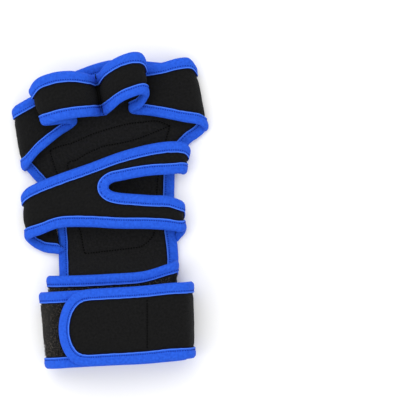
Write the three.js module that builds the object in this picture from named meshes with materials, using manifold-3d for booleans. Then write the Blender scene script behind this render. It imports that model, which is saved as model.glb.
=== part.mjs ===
// Open-backed weightlifting glove for the left hand, lying palm down.
// Millimetres, +Z up, +Y towards the fingers, thumb side towards +X.
import * as THREE from 'three';
import Module from 'manifold-3d';
import { mergeVertices } from 'three/addons/utils/BufferGeometryUtils.js';

const wasm = await Module();
wasm.setup();

// Overall plan of the glove as it lies.
const gloveWidth = 127.4;
const gloveLength = 206.7;

// Cloth, tape and the clearance that neighbouring pieces keep.
const neopreneThickness = 2.0;
const tapeThickness = 0.65;
const tapeWidth = 7.1;
const seamGap = 0.3;
const tapeClearance = 0.4;
const patchThickness = 1.2;

// Heights of the hollows above the layers under them.
const fingerLoopHeight = 11;
const fingerLeanHeight = 6.5;
const handHollowHeight = 18;
const wristHollowHeight = 9.5;

// The round closing end of the wrist strap, along the strap.
const wristEndRound = 19;

// Turning angle that one facet of a bent strip may cover, in degrees.
const facetAngle = 28;

const halfSheet = neopreneThickness / 2;
const tapeInner = halfSheet + seamGap;
const tapeOuter = tapeInner + tapeThickness;
const tapeReach = seamGap + tapeThickness;
const layerPitch = 2 * tapeOuter + tapeClearance;
const palmLevel = patchThickness + seamGap + Math.max(halfSheet, tapeOuter - patchThickness);
const wristLevel = tapeOuter;

const colours = {
  neoprene: { color: 0x212122, roughness: 0.92, metalness: 0 },
  grip: { color: 0x1b1b1c, roughness: 0.85, metalness: 0 },
  binding: { color: 0x2d69ee, roughness: 0.78, metalness: 0 },
};

const glove = new THREE.Group();

// Plan positions are shares of the width from the little-finger side and of the length from the wrist.
// aside moves a point towards the thumb by that many layers of bound cloth.
function planX(share, aside = 0) {
  return (share - 0.5) * gloveWidth + aside * layerPitch;
}

function planY(share) {
  return (share - 0.5) * gloveLength;
}

// A smooth line through one point for each table row; it runs on straight past its ends.
function lineThrough(points) {
  const curve = new THREE.CatmullRomCurve3(points, false, 'centripetal');
  const step = 0.002;
  return (t) => {
    const inside = THREE.MathUtils.clamp(t, 0, 1);
    const point = curve.getPoint(inside);
    if (inside === t) return point;
    const back = curve.getPoint(inside === 0 ? step : 1 - step);
    const slope = point.clone().sub(back).divideScalar(step);
    return point.addScaledVector(slope, Math.abs(t - inside));
  };
}

// A sheet runs along t between an upper and a lower edge line, with v from 0 to 1 across it.
// Its middle never dips under the given lowest height.
function sheetBetween(upperPoints, lowerPoints, lowest = 0) {
  const upper = lineThrough(upperPoints);
  const lower = lineThrough(lowerPoints);
  const point = (t, v) => {
    const place = upper(t).lerp(lower(t), v);
    place.z = Math.max(place.z, lowest);
    return place;
  };
  return makeSheet(point, upperPoints.length);
}

function makeSheet(point, rowCount) {
  const step = 0.001;
  const along = (t, v) => point(t + step, v).sub(point(t - step, v)).divideScalar(2 * step);
  const across = (t, v) => point(t, v + step).sub(point(t, v - step)).divideScalar(2 * step);
  const normal = (t, v) => along(t, v).cross(across(t, v)).normalize();
  return { point, along, across, normal, rowCount };
}

// Stations along a sheet: one at each row, and more where it bends.
function stationsAlong(sheet, from = 0, to = 1) {
  const stations = [from];
  const segments = sheet.rowCount - 1;
  const limit = THREE.MathUtils.degToRad(facetAngle);
  for (let row = 0; row < segments; row += 1) {
    const start = row / segments;
    const end = (row + 1) / segments;
    const turn = sheet.along(start, 0.5).angleTo(sheet.along(end, 0.5));
    const pieces = Math.max(1, Math.ceil(turn / limit));
    for (let piece = 1; piece <= pieces; piece += 1) {
      const t = start + ((end - start) * piece) / pieces;
      if (t > from + 1e-6 && t < to - 1e-6) stations.push(t);
    }
  }
  stations.push(to);
  return stations;
}

// A closed body from rings of equal point counts, with its two end rings closed by fans.
function bodyFromRings(rings) {
  const positions = [];
  const indices = [];
  const size = rings[0].length;
  for (const ring of rings) {
    for (const point of ring) positions.push(point.x, point.y, point.z);
  }
  for (let r = 0; r + 1 < rings.length; r += 1) {
    for (let i = 0; i < size; i += 1) {
      const a = r * size + i;
      const b = r * size + ((i + 1) % size);
      indices.push(a, b, b + size, a, b + size, a + size);
    }
  }
  return { positions, indices, size, count: rings.length };
}

function toGeometry(positions, indices) {
  const geometry = new THREE.BufferGeometry();
  geometry.setAttribute('position', new THREE.Float32BufferAttribute(positions, 3));
  geometry.setIndex(indices);
  return outwards(geometry);
}

// Turns every face over where the body came out inside out.
function outwards(geometry) {
  const position = geometry.getAttribute('position');
  const index = geometry.getIndex();
  const a = new THREE.Vector3();
  const b = new THREE.Vector3();
  const c = new THREE.Vector3();
  let volume = 0;
  for (let i = 0; i < index.count; i += 3) {
    a.fromBufferAttribute(position, index.getX(i));
    b.fromBufferAttribute(position, index.getX(i + 1));
    c.fromBufferAttribute(position, index.getX(i + 2));
    volume += a.dot(b.cross(c));
  }
  if (volume < 0) {
    for (let i = 0; i < index.count; i += 3) {
      const first = index.getX(i);
      index.setX(i, index.getX(i + 1));
      index.setX(i + 1, first);
    }
  }
  geometry.computeVertexNormals();
  return geometry;
}

// Shares across a bound panel: its edges, the lines under the tapes' inner edges, and its middle.
function boundShares(sheet, t, low, high) {
  const reach = (tapeWidth - tapeReach) / sheet.across(t, 0.5).length();
  const room = Math.min(reach, (high - low) * 0.4);
  return [low, low + room, (low + high) / 2, high - room, high];
}

function evenShares(columns) {
  return (sheet, t, low, high) => {
    const shares = [];
    for (let c = 0; c <= columns; c += 1) shares.push(THREE.MathUtils.lerp(low, high, c / columns));
    return shares;
  };
}

// A cloth panel: the sheet given its thickness, between the across shares low(t) and high(t).
function panelOn(sheet, stations, sharesAt, thickness, low = () => 0, high = () => 1) {
  const rings = stations.map((t) => {
    const shares = sharesAt(sheet, t, low(t), high(t));
    const face = (v, side) => sheet.point(t, v).addScaledVector(sheet.normal(t, v), (side * thickness) / 2);
    return [...shares.map((v) => face(v, 1)), ...shares.reverse().map((v) => face(v, -1))];
  });
  const body = bodyFromRings(rings);
  const last = (body.count - 1) * body.size;
  for (let c = 0; c < body.size / 2 - 1; c += 1) {
    const top = c;
    const under = body.size - 1 - c;
    body.indices.push(top, under, under - 1, top, under - 1, top + 1);
    body.indices.push(last + top, last + under - 1, last + under, last + top, last + top + 1, last + under - 1);
  }
  return toGeometry(body.positions, body.indices);
}

// Section of the folded tape: distance in from the cloth's edge, and height over the cloth's middle.
// Its ends are closed in three parts, by the numbers of these corners.
function tapeSection() {
  return [
    { inwards: tapeWidth - tapeReach, height: tapeOuter },
    { inwards: 0, height: tapeOuter },
    { inwards: -tapeReach, height: halfSheet },
    { inwards: -tapeReach, height: -halfSheet },
    { inwards: 0, height: -tapeOuter },
    { inwards: tapeWidth - tapeReach, height: -tapeOuter },
    { inwards: tapeWidth - tapeReach, height: -tapeInner },
    { inwards: -seamGap, height: -tapeInner },
    { inwards: -seamGap, height: tapeInner },
    { inwards: tapeWidth - tapeReach, height: tapeInner },
  ];
}

// Folded tape along a path of { t, v } on a sheet; side says on which hand of the path the cloth lies.
// Its sections run straight across the strip, or square to the path where a stop is marked round.
function tapeOn(sheet, path, side) {
  const section = tapeSection();
  const rings = path.map((stop, i) => {
    const before = path[Math.max(0, i - 1)];
    const after = path[Math.min(path.length - 1, i + 1)];
    const here = sheet.point(stop.t, stop.v);
    const incoming = here.clone().sub(sheet.point(before.t, before.v));
    const outgoing = sheet.point(after.t, after.v).sub(here);
    if (incoming.lengthSq() > 0) incoming.normalize();
    if (outgoing.lengthSq() > 0) outgoing.normalize();
    const direction = incoming.add(outgoing).normalize();
    const normal = sheet.normal(stop.t, stop.v);
    const square = normal.clone().cross(direction).normalize().multiplyScalar(side);
    const across = sheet.across(stop.t, stop.v);
    const straight = across.clone().normalize().multiplyScalar(Math.sign(across.dot(square)));
    const inwards = stop.round ? square : straight;
    const shift = sharesOf(inwards, sheet.along(stop.t, stop.v), across);
    return section.map((corner) => {
      if (corner.inwards <= 0) {
        return here.clone().addScaledVector(inwards, corner.inwards).addScaledVector(normal, corner.height);
      }
      const t = stop.t + shift.t * corner.inwards;
      const v = stop.v + shift.v * corner.inwards;
      return sheet.point(t, v).addScaledVector(sheet.normal(t, v), corner.height);
    });
  });
  const body = bodyFromRings(rings);
  const last = (body.count - 1) * body.size;
  const upperFlank = [0, 1, 8, 9];
  const fold = [1, 2, 3, 4, 7, 8];
  const lowerFlank = [4, 5, 6, 7];
  for (const face of [upperFlank, fold, lowerFlank]) {
    for (let k = 1; k + 1 < face.length; k += 1) {
      body.indices.push(face[0], face[k + 1], face[k]);
      body.indices.push(last + face[0], last + face[k], last + face[k + 1]);
    }
  }
  return toGeometry(body.positions, body.indices);
}

// How far a direction in the sheet goes along t and across v.
function sharesOf(direction, along, across) {
  const aa = along.dot(along);
  const ab = along.dot(across);
  const bb = across.dot(across);
  const da = direction.dot(along);
  const db = direction.dot(across);
  const whole = aa * bb - ab * ab;
  return { t: (da * bb - db * ab) / whole, v: (db * aa - da * ab) / whole };
}

function toSolid(geometry) {
  const bare = geometry.clone();
  bare.deleteAttribute('normal');
  const merged = mergeVertices(bare, 1e-5);
  return new wasm.Manifold(new wasm.Mesh({
    numProp: 3,
    vertProperties: new Float32Array(merged.getAttribute('position').array),
    triVerts: new Uint32Array(merged.getIndex().array),
  }));
}

function fromSolid(solid) {
  const mesh = solid.getMesh();
  return toGeometry(Array.from(mesh.vertProperties), Array.from(mesh.triVerts));
}

function add(name, geometry, look) {
  const mesh = new THREE.Mesh(geometry, new THREE.MeshStandardMaterial(colours[look]));
  mesh.name = name;
  glove.add(mesh);
}

// Palm: rows from the finger end to the wrist. rise bows the row towards the fingers,
// and tuck draws its ends in beside the finger band, as a share of one layer of bound cloth.
const palmRows = [
  { left: 0.014, leftUp: 0.818, right: 0.924, rightUp: 0.95, rise: 0.083, tuck: 0.55 },
  { left: 0.04, leftUp: 0.724, right: 0.955, rightUp: 0.856, rise: 0.047, tuck: 0.55 },
  { left: 0.068, leftUp: 0.63, right: 0.986, rightUp: 0.762, rise: 0.02, tuck: 0.55 },
  { left: 0.165, leftUp: 0.6, right: 0.895, rightUp: 0.716, rise: 0.01, tuck: 0 },
  { left: 0.2, leftUp: 0.555, right: 0.83, rightUp: 0.66, rise: 0, tuck: 0 },
  { left: 0.225, leftUp: 0.49, right: 0.82, rightUp: 0.57, rise: 0, tuck: 0 },
  { left: 0.242, leftUp: 0.425, right: 0.822, rightUp: 0.465, rise: 0, tuck: 0 },
  { left: 0.247, leftUp: 0.365, right: 0.836, rightUp: 0.38, rise: 0, tuck: 0 },
  { left: 0.25, leftUp: 0.29, right: 0.821, rightUp: 0.3, rise: 0, tuck: 0 },
  { left: 0.253, leftUp: 0.18, right: 0.82, rightUp: 0.18, rise: 0, tuck: 0 },
  { left: 0.257, leftUp: 0.06, right: 0.818, rightUp: 0.06, rise: 0, tuck: 0 },
];

// The palm lies flat and then climbs over the two wrist layers under it.
const climbFrom = 0.366;
const climbTo = 0.296;
const palmOverWrist = wristLevel + 2 * layerPitch;

function palmHeight(y) {
  const climb = THREE.MathUtils.smoothstep(planY(climbFrom) - y, 0, planY(climbFrom) - planY(climbTo));
  return THREE.MathUtils.lerp(palmLevel, palmOverWrist, climb);
}

function palmSheet() {
  const end = (x, up) => new THREE.Vector3(x, planY(up), 0);
  const left = lineThrough(palmRows.map((row) => end(planX(row.left, row.tuck), row.leftUp)));
  const right = lineThrough(palmRows.map((row) => end(planX(row.right, -row.tuck), row.rightUp)));
  const rise = lineThrough(palmRows.map((row, i) => new THREE.Vector3(i, row.rise * gloveLength, 0)));
  const point = (t, v) => {
    const place = left(t).lerp(right(t), v);
    place.y += rise(t).y * 4 * v * (1 - v);
    place.z = palmHeight(place.y);
    return place;
  };
  return makeSheet(point, palmRows.length);
}

const palm = palmSheet();
const palmRow = (row) => row / (palmRows.length - 1);

function palmStations() {
  const stations = stationsAlong(palm);
  for (let part = 1; part < 6; part += 1) stations.push(palmRow(7) + (palmRow(8) - palmRow(7)) * (part / 6));
  for (const row of [2.5, 3.5]) stations.push(palmRow(row));
  return stations.sort((a, b) => a - b).filter((t, i, all) => i === 0 || t - all[i - 1] > 1e-4);
}

function palmSide(v, fromRow, toRow) {
  return palmStations()
    .filter((t) => t > palmRow(fromRow) - 1e-4 && t < palmRow(toRow) + 1e-4)
    .map((t) => ({ t, v, round: true }));
}

const palmColumns = 10;

function palmEnd(t, from, to) {
  const path = [];
  for (let c = 0; c <= palmColumns; c += 1) {
    const v = c / palmColumns;
    if (v > from - 1e-4 && v < to + 1e-4) path.push({ t, v, round: true });
  }
  return path;
}

add('palm_panel', panelOn(palm, palmStations(), evenShares(palmColumns), neopreneThickness), 'neoprene');
add('binding_palm_left', tapeOn(palm, palmSide(0, 3, 10), 1), 'binding');
add('binding_palm_right', tapeOn(palm, palmSide(1, 3, 7).reverse(), 1), 'binding');
add('binding_palm_top', tapeOn(palm, palmEnd(0, 0.1, 0.9), -1), 'binding');

// Grip patch on the outside of the palm: rows from the finger end to the heel.
const patchRows = [
  { left: 0.200, leftUp: 0.705, right: 0.800, rightUp: 0.790 },
  { left: 0.215, leftUp: 0.650, right: 0.790, rightUp: 0.705 },
  { left: 0.262, leftUp: 0.560, right: 0.755, rightUp: 0.590 },
  { left: 0.305, leftUp: 0.470, right: 0.745, rightUp: 0.480 },
  { left: 0.350, leftUp: 0.400, right: 0.720, rightUp: 0.415 },
  { left: 0.420, leftUp: 0.374, right: 0.640, rightUp: 0.378 },
];

function patchEdge(side) {
  return patchRows.map((row) => new THREE.Vector3(planX(row[side]), planY(row[`${side}Up`]), patchThickness / 2));
}

const patch = sheetBetween(patchEdge('left'), patchEdge('right'));
add('palm_grip_patch', panelOn(patch, stationsAlong(patch), evenShares(1), patchThickness), 'grip');

// Bent strips share one kind of table. Each row is a line across the strip:
// upper and lower ends in plan, layers of bound cloth under it, and its rise as a share of the hollow.
function stripSheet(rows, level, hollow, lowest) {
  const end = (row, x, up) => {
    const z = level + row.layers * layerPitch + row.rise * hollow;
    return new THREE.Vector3(planX(row[x], row.aside ?? 0), planY(row[up]), z);
  };
  const upper = rows.map((row) => end(row, 'x', 'up'));
  return sheetBetween(upper, rows.map((row) => end(row, 'lowX', 'lowUp')), lowest);
}

// A strip whose rows bow towards the little finger between their ends; bow is a share of the width.
function bowedSheet(sheet, rows) {
  const bow = lineThrough(rows.map((row, i) => new THREE.Vector3(i, row.bow * gloveWidth, 0)));
  const point = (t, v) => {
    const place = sheet.point(t, v);
    place.x -= bow(t).y * 4 * v * (1 - v);
    return place;
  };
  return makeSheet(point, rows.length);
}

function edgePath(sheet, v, from = 0, to = 1) {
  return stationsAlong(sheet, from, to).map((t) => ({ t, v }));
}

// Finger band, from the little finger's fold to the index finger's. rise is a share of the loop's hollow,
// lean a share of the extra height of the two leaning loops.
const fingerRows = [
  { x: 0.014, up: 0.818, lowX: 0.068, lowUp: 0.63, layers: 0, rise: -0.14, lean: 0 },
  { x: 0.014, up: 0.821, lowX: 0.066, lowUp: 0.634, layers: 0, rise: 0.35, lean: 0 },
  { x: 0.028, up: 0.829, lowX: 0.082, lowUp: 0.643, layers: 0, rise: 0.78, lean: 0 },
  { x: 0.092, up: 0.852, lowX: 0.138, lowUp: 0.675, layers: 0, rise: 0.98, lean: 0 },
  { x: 0.173, up: 0.877, lowX: 0.209, lowUp: 0.712, layers: 0.2, rise: 0.86, lean: 0 },
  { x: 0.24, up: 0.903, lowX: 0.262, lowUp: 0.742, layers: 0.5, rise: 0.5, lean: 0 },
  { x: 0.286, up: 0.918, lowX: 0.299, lowUp: 0.763, layers: 1, rise: 0.03, lean: 0 },
  { x: 0.316, up: 0.921, lowX: 0.318, lowUp: 0.775, layers: 1.7, rise: 0, lean: 0 },
  { x: 0.286, up: 0.916, lowX: 0.298, lowUp: 0.779, layers: 2.3, rise: 0.03, lean: 0 },
  { x: 0.232, up: 0.908, lowX: 0.252, lowUp: 0.778, layers: 2, rise: 0.46, lean: 0 },
  { x: 0.168, up: 0.894, lowX: 0.2, lowUp: 0.775, layers: 1.7, rise: 0.82, lean: 0 },
  { x: 0.114, up: 0.88, lowX: 0.164, lowUp: 0.776, layers: 1.6, rise: 0.95, lean: 0.42 },
  { x: 0.143, up: 0.906, lowX: 0.187, lowUp: 0.779, layers: 1.6, rise: 0.95, lean: 1 },
  { x: 0.219, up: 0.929, lowX: 0.247, lowUp: 0.787, layers: 1.6, rise: 1, lean: 1.15 },
  { x: 0.306, up: 0.934, lowX: 0.327, lowUp: 0.796, layers: 1.6, rise: 1, lean: 1.05 },
  { x: 0.374, up: 0.928, lowX: 0.404, lowUp: 0.801, layers: 1.4, rise: 0.95, lean: 0.6 },
  { x: 0.428, up: 0.922, lowX: 0.459, lowUp: 0.802, layers: 1.3, rise: 0.55, lean: 0, aside: -0.68 },
  { x: 0.428, up: 0.923, lowX: 0.459, lowUp: 0.804, layers: 1.1, rise: 0.05, lean: 0, aside: -0.42 },
  { x: 0.428, up: 0.927, lowX: 0.459, lowUp: 0.806, layers: 1.1, rise: 0.05, lean: 0, aside: 0.42 },
  { x: 0.428, up: 0.93, lowX: 0.459, lowUp: 0.808, layers: 1.3, rise: 0.55, lean: 0, aside: 0.68 },
  { x: 0.484, up: 0.955, lowX: 0.514, lowUp: 0.822, layers: 1.4, rise: 0.95, lean: 0.6 },
  { x: 0.551, up: 0.98, lowX: 0.561, lowUp: 0.845, layers: 1.6, rise: 1, lean: 1.05 },
  { x: 0.622, up: 0.993, lowX: 0.622, lowUp: 0.862, layers: 1.6, rise: 1, lean: 1.15 },
  { x: 0.668, up: 0.986, lowX: 0.674, lowUp: 0.867, layers: 1.6, rise: 0.97, lean: 0.95 },
  { x: 0.684, up: 0.966, lowX: 0.7, lowUp: 0.866, layers: 1.5, rise: 0.95, lean: 0.4 },
  { x: 0.668, up: 0.955, lowX: 0.686, lowUp: 0.849, layers: 1.6, rise: 0.8, lean: 0 },
  { x: 0.64, up: 0.951, lowX: 0.656, lowUp: 0.828, layers: 1.9, rise: 0.4, lean: 0 },
  { x: 0.603, up: 0.953, lowX: 0.612, lowUp: 0.813, layers: 1.7, rise: 0, lean: 0 },
  { x: 0.63, up: 0.956, lowX: 0.634, lowUp: 0.809, layers: 1, rise: 0.03, lean: 0 },
  { x: 0.684, up: 0.962, lowX: 0.69, lowUp: 0.806, layers: 0.6, rise: 0.38, lean: 0 },
  { x: 0.765, up: 0.964, lowX: 0.778, lowUp: 0.797, layers: 0.2, rise: 0.86, lean: 0 },
  { x: 0.85, up: 0.972, lowX: 0.882, lowUp: 0.783, layers: 0, rise: 0.98, lean: 0 },
  { x: 0.899, up: 0.971, lowX: 0.95, lowUp: 0.775, layers: 0, rise: 0.78, lean: 0 },
  { x: 0.922, up: 0.957, lowX: 0.982, lowUp: 0.77, layers: 0, rise: 0.35, lean: 0 },
  { x: 0.924, up: 0.951, lowX: 0.984, lowUp: 0.766, layers: 0, rise: -0.14, lean: 0 },
];

const fingerShare = fingerLeanHeight / fingerLoopHeight;
const fingerBand = stripSheet(
  fingerRows.map((row) => ({ ...row, rise: row.rise + row.lean * fingerShare })),
  palmLevel,
  fingerLoopHeight,
  0,
);
add('finger_band', panelOn(fingerBand, stationsAlong(fingerBand), boundShares, neopreneThickness), 'neoprene');
add('binding_fingers_upper', tapeOn(fingerBand, edgePath(fingerBand, 0), 1), 'binding');
add('binding_fingers_lower', tapeOn(fingerBand, edgePath(fingerBand, 1).reverse(), 1), 'binding');

// Hand strap, from the palm's little-finger edge over the back of the hand to its thumb edge.
const handRows = [
  { x: 0.19, up: 0.535, lowX: 0.232, lowUp: 0.371, layers: 0, rise: 0, bow: 0 },
  { x: 0.143, up: 0.531, lowX: 0.163, lowUp: 0.377, layers: 0, rise: 0.02, bow: 0 },
  { x: 0.09, up: 0.537, lowX: 0.11, lowUp: 0.394, layers: 0, rise: 0.13, bow: 0 },
  { x: 0.062, up: 0.549, lowX: 0.083, lowUp: 0.413, layers: 0, rise: 0.39, bow: 0 },
  { x: 0.078, up: 0.567, lowX: 0.102, lowUp: 0.422, layers: 0, rise: 0.64, bow: 0 },
  { x: 0.13, up: 0.585, lowX: 0.146, lowUp: 0.431, layers: 0, rise: 0.8, bow: 0 },
  { x: 0.245, up: 0.613, lowX: 0.245, lowUp: 0.453, layers: 0, rise: 0.93, bow: 0 },
  { x: 0.398, up: 0.646, lowX: 0.388, lowUp: 0.456, layers: 0, rise: 1, bow: 0 },
  { x: 0.551, up: 0.681, lowX: 0.541, lowUp: 0.451, layers: 0, rise: 1, bow: 0 },
  { x: 0.704, up: 0.706, lowX: 0.689, lowUp: 0.45, layers: 0, rise: 0.92, bow: 0 },
  { x: 0.812, up: 0.715, lowX: 0.795, lowUp: 0.446, layers: 0, rise: 0.79, bow: 0.005 },
  { x: 0.876, up: 0.712, lowX: 0.858, lowUp: 0.44, layers: 0, rise: 0.62, bow: 0.012 },
  { x: 0.898, up: 0.698, lowX: 0.873, lowUp: 0.443, layers: 0, rise: 0.36, bow: 0.017 },
  { x: 0.886, up: 0.686, lowX: 0.87, lowUp: 0.43, layers: 0, rise: 0.12, bow: 0.014 },
  { x: 0.87, up: 0.684, lowX: 0.856, lowUp: 0.42, layers: 0, rise: 0.04, bow: 0.01 },
];

const handStrap = bowedSheet(stripSheet(handRows, palmLevel, handHollowHeight, tapeOuter), handRows);
const handRow = (row) => row / (handRows.length - 1);

// Thumb hole: from its round inner end to the strap's end, its upper and lower edge across the strap.
const thumbHole = [
  { row: 7.62, upper: 0.427, lower: 0.433 },
  { row: 7.66, upper: 0.385, lower: 0.475 },
  { row: 7.80, upper: 0.357, lower: 0.520 },
  { row: 8.05, upper: 0.354, lower: 0.555 },
  { row: 9, upper: 0.350, lower: 0.620 },
  { row: 10, upper: 0.352, lower: 0.634 },
  { row: 11, upper: 0.325, lower: 0.660 },
  { row: 12, upper: 0.300, lower: 0.675 },
  { row: 13, upper: 0.290, lower: 0.700 },
  { row: 14, upper: 0.285, lower: 0.720 },
  { row: 14.4, upper: 0.285, lower: 0.720 },
];
const holeTip = thumbHole[0];
const holePastEnd = thumbHole[thumbHole.length - 1];
const strapEnd = handRows.length - 1;

function holeEdge(edge) {
  return (t) => {
    const row = t * strapEnd;
    const next = Math.max(1, thumbHole.findIndex((stop) => stop.row > row - 1e-9));
    const a = thumbHole[next - 1];
    const b = thumbHole[next];
    return THREE.MathUtils.mapLinear(row, a.row, b.row, a[edge], b[edge]);
  };
}

function holeStations(last) {
  const stations = stationsAlong(handStrap, handRow(holeTip.row), handRow(last));
  for (const stop of thumbHole) {
    if (stop.row > holeTip.row && stop.row < last) stations.push(handRow(stop.row));
  }
  return stations.sort((a, b) => a - b).filter((t, i, all) => i === 0 || t - all[i - 1] > 1e-4);
}

// Shares across the hand strap, with a line just beside each edge of the thumb hole.
function handShares(sheet, t, low, high) {
  const [, first, , last] = boundShares(sheet, t, low, high);
  const inside = Math.max(t, handRow(thumbHole[1].row));
  const beside = 0.02;
  return [low, first, holeEdge('upper')(inside) - beside, holeEdge('lower')(inside) + beside, last, high];
}

function handStrapPanel() {
  const whole = toSolid(panelOn(handStrap, stationsAlong(handStrap), handShares, neopreneThickness));
  const cutThickness = 1.5 * neopreneThickness;
  const trim = (t) => seamGap / handStrap.across(t, 0.5).length();
  const cutter = panelOn(
    handStrap,
    holeStations(holePastEnd.row),
    evenShares(1),
    cutThickness,
    (t) => holeEdge('upper')(t) - trim(t),
    (t) => holeEdge('lower')(t) + trim(t),
  );
  return fromSolid(whole.subtract(toSolid(cutter)));
}

function thumbHolePath() {
  const stops = holeStations(strapEnd);
  const round = (t) => t < handRow(8.5);
  const upper = stops.slice(1).reverse().map((t) => ({ t, v: holeEdge('upper')(t), round: round(t) }));
  const lower = stops.slice(1).map((t) => ({ t, v: holeEdge('lower')(t), round: round(t) }));
  const tip = { t: stops[0], v: (holeTip.upper + holeTip.lower) / 2, round: true };
  return [...upper, tip, ...lower];
}

add('hand_strap', handStrapPanel(), 'neoprene');
add('binding_hand_upper', tapeOn(handStrap, edgePath(handStrap, 0), 1), 'binding');
add('binding_hand_lower', tapeOn(handStrap, edgePath(handStrap, 1).reverse(), 1), 'binding');
add('binding_thumb_hole', tapeOn(handStrap, thumbHolePath(), 1), 'binding');

// Wrist strap, wound from the palm's thumb edge: three crossings over the front and two under the palm.
const wristWidth = 0.232;
const wristRows = [
  { x: 0.824, lowX: 0.824, up: 0.34, layers: 1.95, rise: 0, aside: 0.56 },
  { x: 0.824, lowX: 0.824, up: 0.338, layers: 2.35, rise: 0.3, aside: 0.6 },
  { x: 0.824, lowX: 0.826, up: 0.336, layers: 2.8, rise: 0.66, aside: 0.25 },
  { x: 0.785, lowX: 0.787, up: 0.33, layers: 3, rise: 0.84, aside: 0 },
  { x: 0.679, lowX: 0.679, up: 0.31, layers: 3, rise: 0.96, aside: 0 },
  { x: 0.5, lowX: 0.5, up: 0.299, layers: 3, rise: 1.04, aside: 0 },
  { x: 0.321, lowX: 0.33, up: 0.293, layers: 3, rise: 0.96, aside: 0 },
  { x: 0.225, lowX: 0.25, up: 0.291, layers: 2.9, rise: 0.72, aside: 0 },
  { x: 0.191, lowX: 0.221, up: 0.289, layers: 2, rise: 0.4, aside: 0 },
  { x: 0.215, lowX: 0.243, up: 0.286, layers: 1.06, rise: 0.05, aside: 0 },
  { x: 0.26, lowX: 0.28, up: 0.284, layers: 1, rise: 0, aside: 0 },
  { x: 0.526, lowX: 0.526, up: 0.277, layers: 1, rise: 0, aside: 0 },
  { x: 0.765, lowX: 0.769, up: 0.269, layers: 1, rise: 0, aside: 0 },
  { x: 0.824, lowX: 0.83, up: 0.268, layers: 1, rise: 0.02, aside: 0.3 },
  { x: 0.824, lowX: 0.832, up: 0.267, layers: 1.4, rise: 0.12, aside: 1.35 },
  { x: 0.824, lowX: 0.832, up: 0.266, layers: 2.5, rise: 0.4, aside: 1.68 },
  { x: 0.824, lowX: 0.832, up: 0.265, layers: 3.8, rise: 0.76, aside: 1.15 },
  { x: 0.785, lowX: 0.79, up: 0.264, layers: 4, rise: 0.88, aside: 0 },
  { x: 0.679, lowX: 0.679, up: 0.26, layers: 4, rise: 1, aside: 0 },
  { x: 0.5, lowX: 0.5, up: 0.255, layers: 4, rise: 1.08, aside: 0 },
  { x: 0.315, lowX: 0.325, up: 0.249, layers: 4, rise: 1, aside: 0 },
  { x: 0.225, lowX: 0.254, up: 0.245, layers: 3.85, rise: 0.76, aside: -0.55 },
  { x: 0.191, lowX: 0.223, up: 0.243, layers: 2, rise: 0.4, aside: -1.08 },
  { x: 0.215, lowX: 0.246, up: 0.243, layers: 0.2, rise: 0.04, aside: -0.55 },
  { x: 0.286, lowX: 0.3, up: 0.246, layers: 0, rise: 0, aside: 0 },
  { x: 0.526, lowX: 0.526, up: 0.256, layers: 0, rise: 0, aside: 0 },
  { x: 0.785, lowX: 0.79, up: 0.267, layers: 0, rise: 0, aside: 0 },
  { x: 0.824, lowX: 0.832, up: 0.273, layers: 0.15, rise: 0.04, aside: 1.5 },
  { x: 0.824, lowX: 0.833, up: 0.277, layers: 2.5, rise: 0.4, aside: 2.75 },
  { x: 0.824, lowX: 0.832, up: 0.276, layers: 4.7, rise: 0.8, aside: 1.9 },
  { x: 0.79, lowX: 0.796, up: 0.273, layers: 5, rise: 0.94, aside: 0.3 },
  { x: 0.679, lowX: 0.679, up: 0.265, layers: 5, rise: 1.06, aside: 0 },
  { x: 0.5, lowX: 0.5, up: 0.258, layers: 5, rise: 1.14, aside: 0 },
  { x: 0.352, lowX: 0.352, up: 0.253, layers: 5, rise: 1.08, aside: 0 },
  { x: 0.253, lowX: 0.253, up: 0.25, layers: 5, rise: 0.9, aside: 0 },
];

const wristStrap = stripSheet(
  wristRows.map((row) => ({ ...row, lowUp: row.up - wristWidth })),
  wristLevel,
  wristHollowHeight,
  wristLevel,
);

// Where the round end starts, from the length of the last stretch of the strap.
function wristEndStart() {
  const rowStep = 1 / (wristRows.length - 1);
  const slope = wristStrap.along(1 - rowStep / 2, 0.5).length();
  return 1 - wristEndRound / slope;
}

const endStart = wristEndStart();
const endStops = 7;

// Share across the strap that the round end takes off each edge, by distance along it.
function endInset(t) {
  if (t <= endStart) return 0;
  const along = Math.min(1, (t - endStart) / (1 - endStart));
  return 0.5 * (1 - Math.sqrt(1 - along ** 2.4));
}

function endStations() {
  const stops = [];
  for (let stop = 1; stop <= endStops; stop += 1) {
    stops.push(endStart + (1 - endStart) * Math.sin((stop / endStops) * Math.PI * 0.485));
  }
  return stops;
}

const wristStations = [...stationsAlong(wristStrap, 0, endStart), ...endStations()];

function wristTapePath() {
  const upper = wristStations.map((t) => ({ t, v: endInset(t), round: t >= endStart }));
  const lower = wristStations.map((t) => ({ t, v: 1 - endInset(t), round: t >= endStart })).reverse();
  return [...upper, ...lower];
}

const wristPanel = panelOn(
  wristStrap,
  wristStations,
  boundShares,
  neopreneThickness,
  endInset,
  (t) => 1 - endInset(t),
);
add('wrist_strap', wristPanel, 'neoprene');
add('binding_wrist', tapeOn(wristStrap, wristTapePath(), 1), 'binding');

// The origin is under the middle of the glove, on the surface that it lies on.
const bounds = new THREE.Box3().setFromObject(glove);
const middle = bounds.getCenter(new THREE.Vector3());
for (const mesh of glove.children) mesh.position.set(-middle.x, -middle.y, -bounds.min.z);
glove.updateMatrixWorld(true);

export default glove;
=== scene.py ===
# Open-backed weightlifting glove for the left hand, lying palm down on a pale table.
import math

import bmesh
import bpy
import numpy as np
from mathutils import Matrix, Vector
from mathutils.bvhtree import BVHTree
from mathutils.kdtree import KDTree


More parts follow.
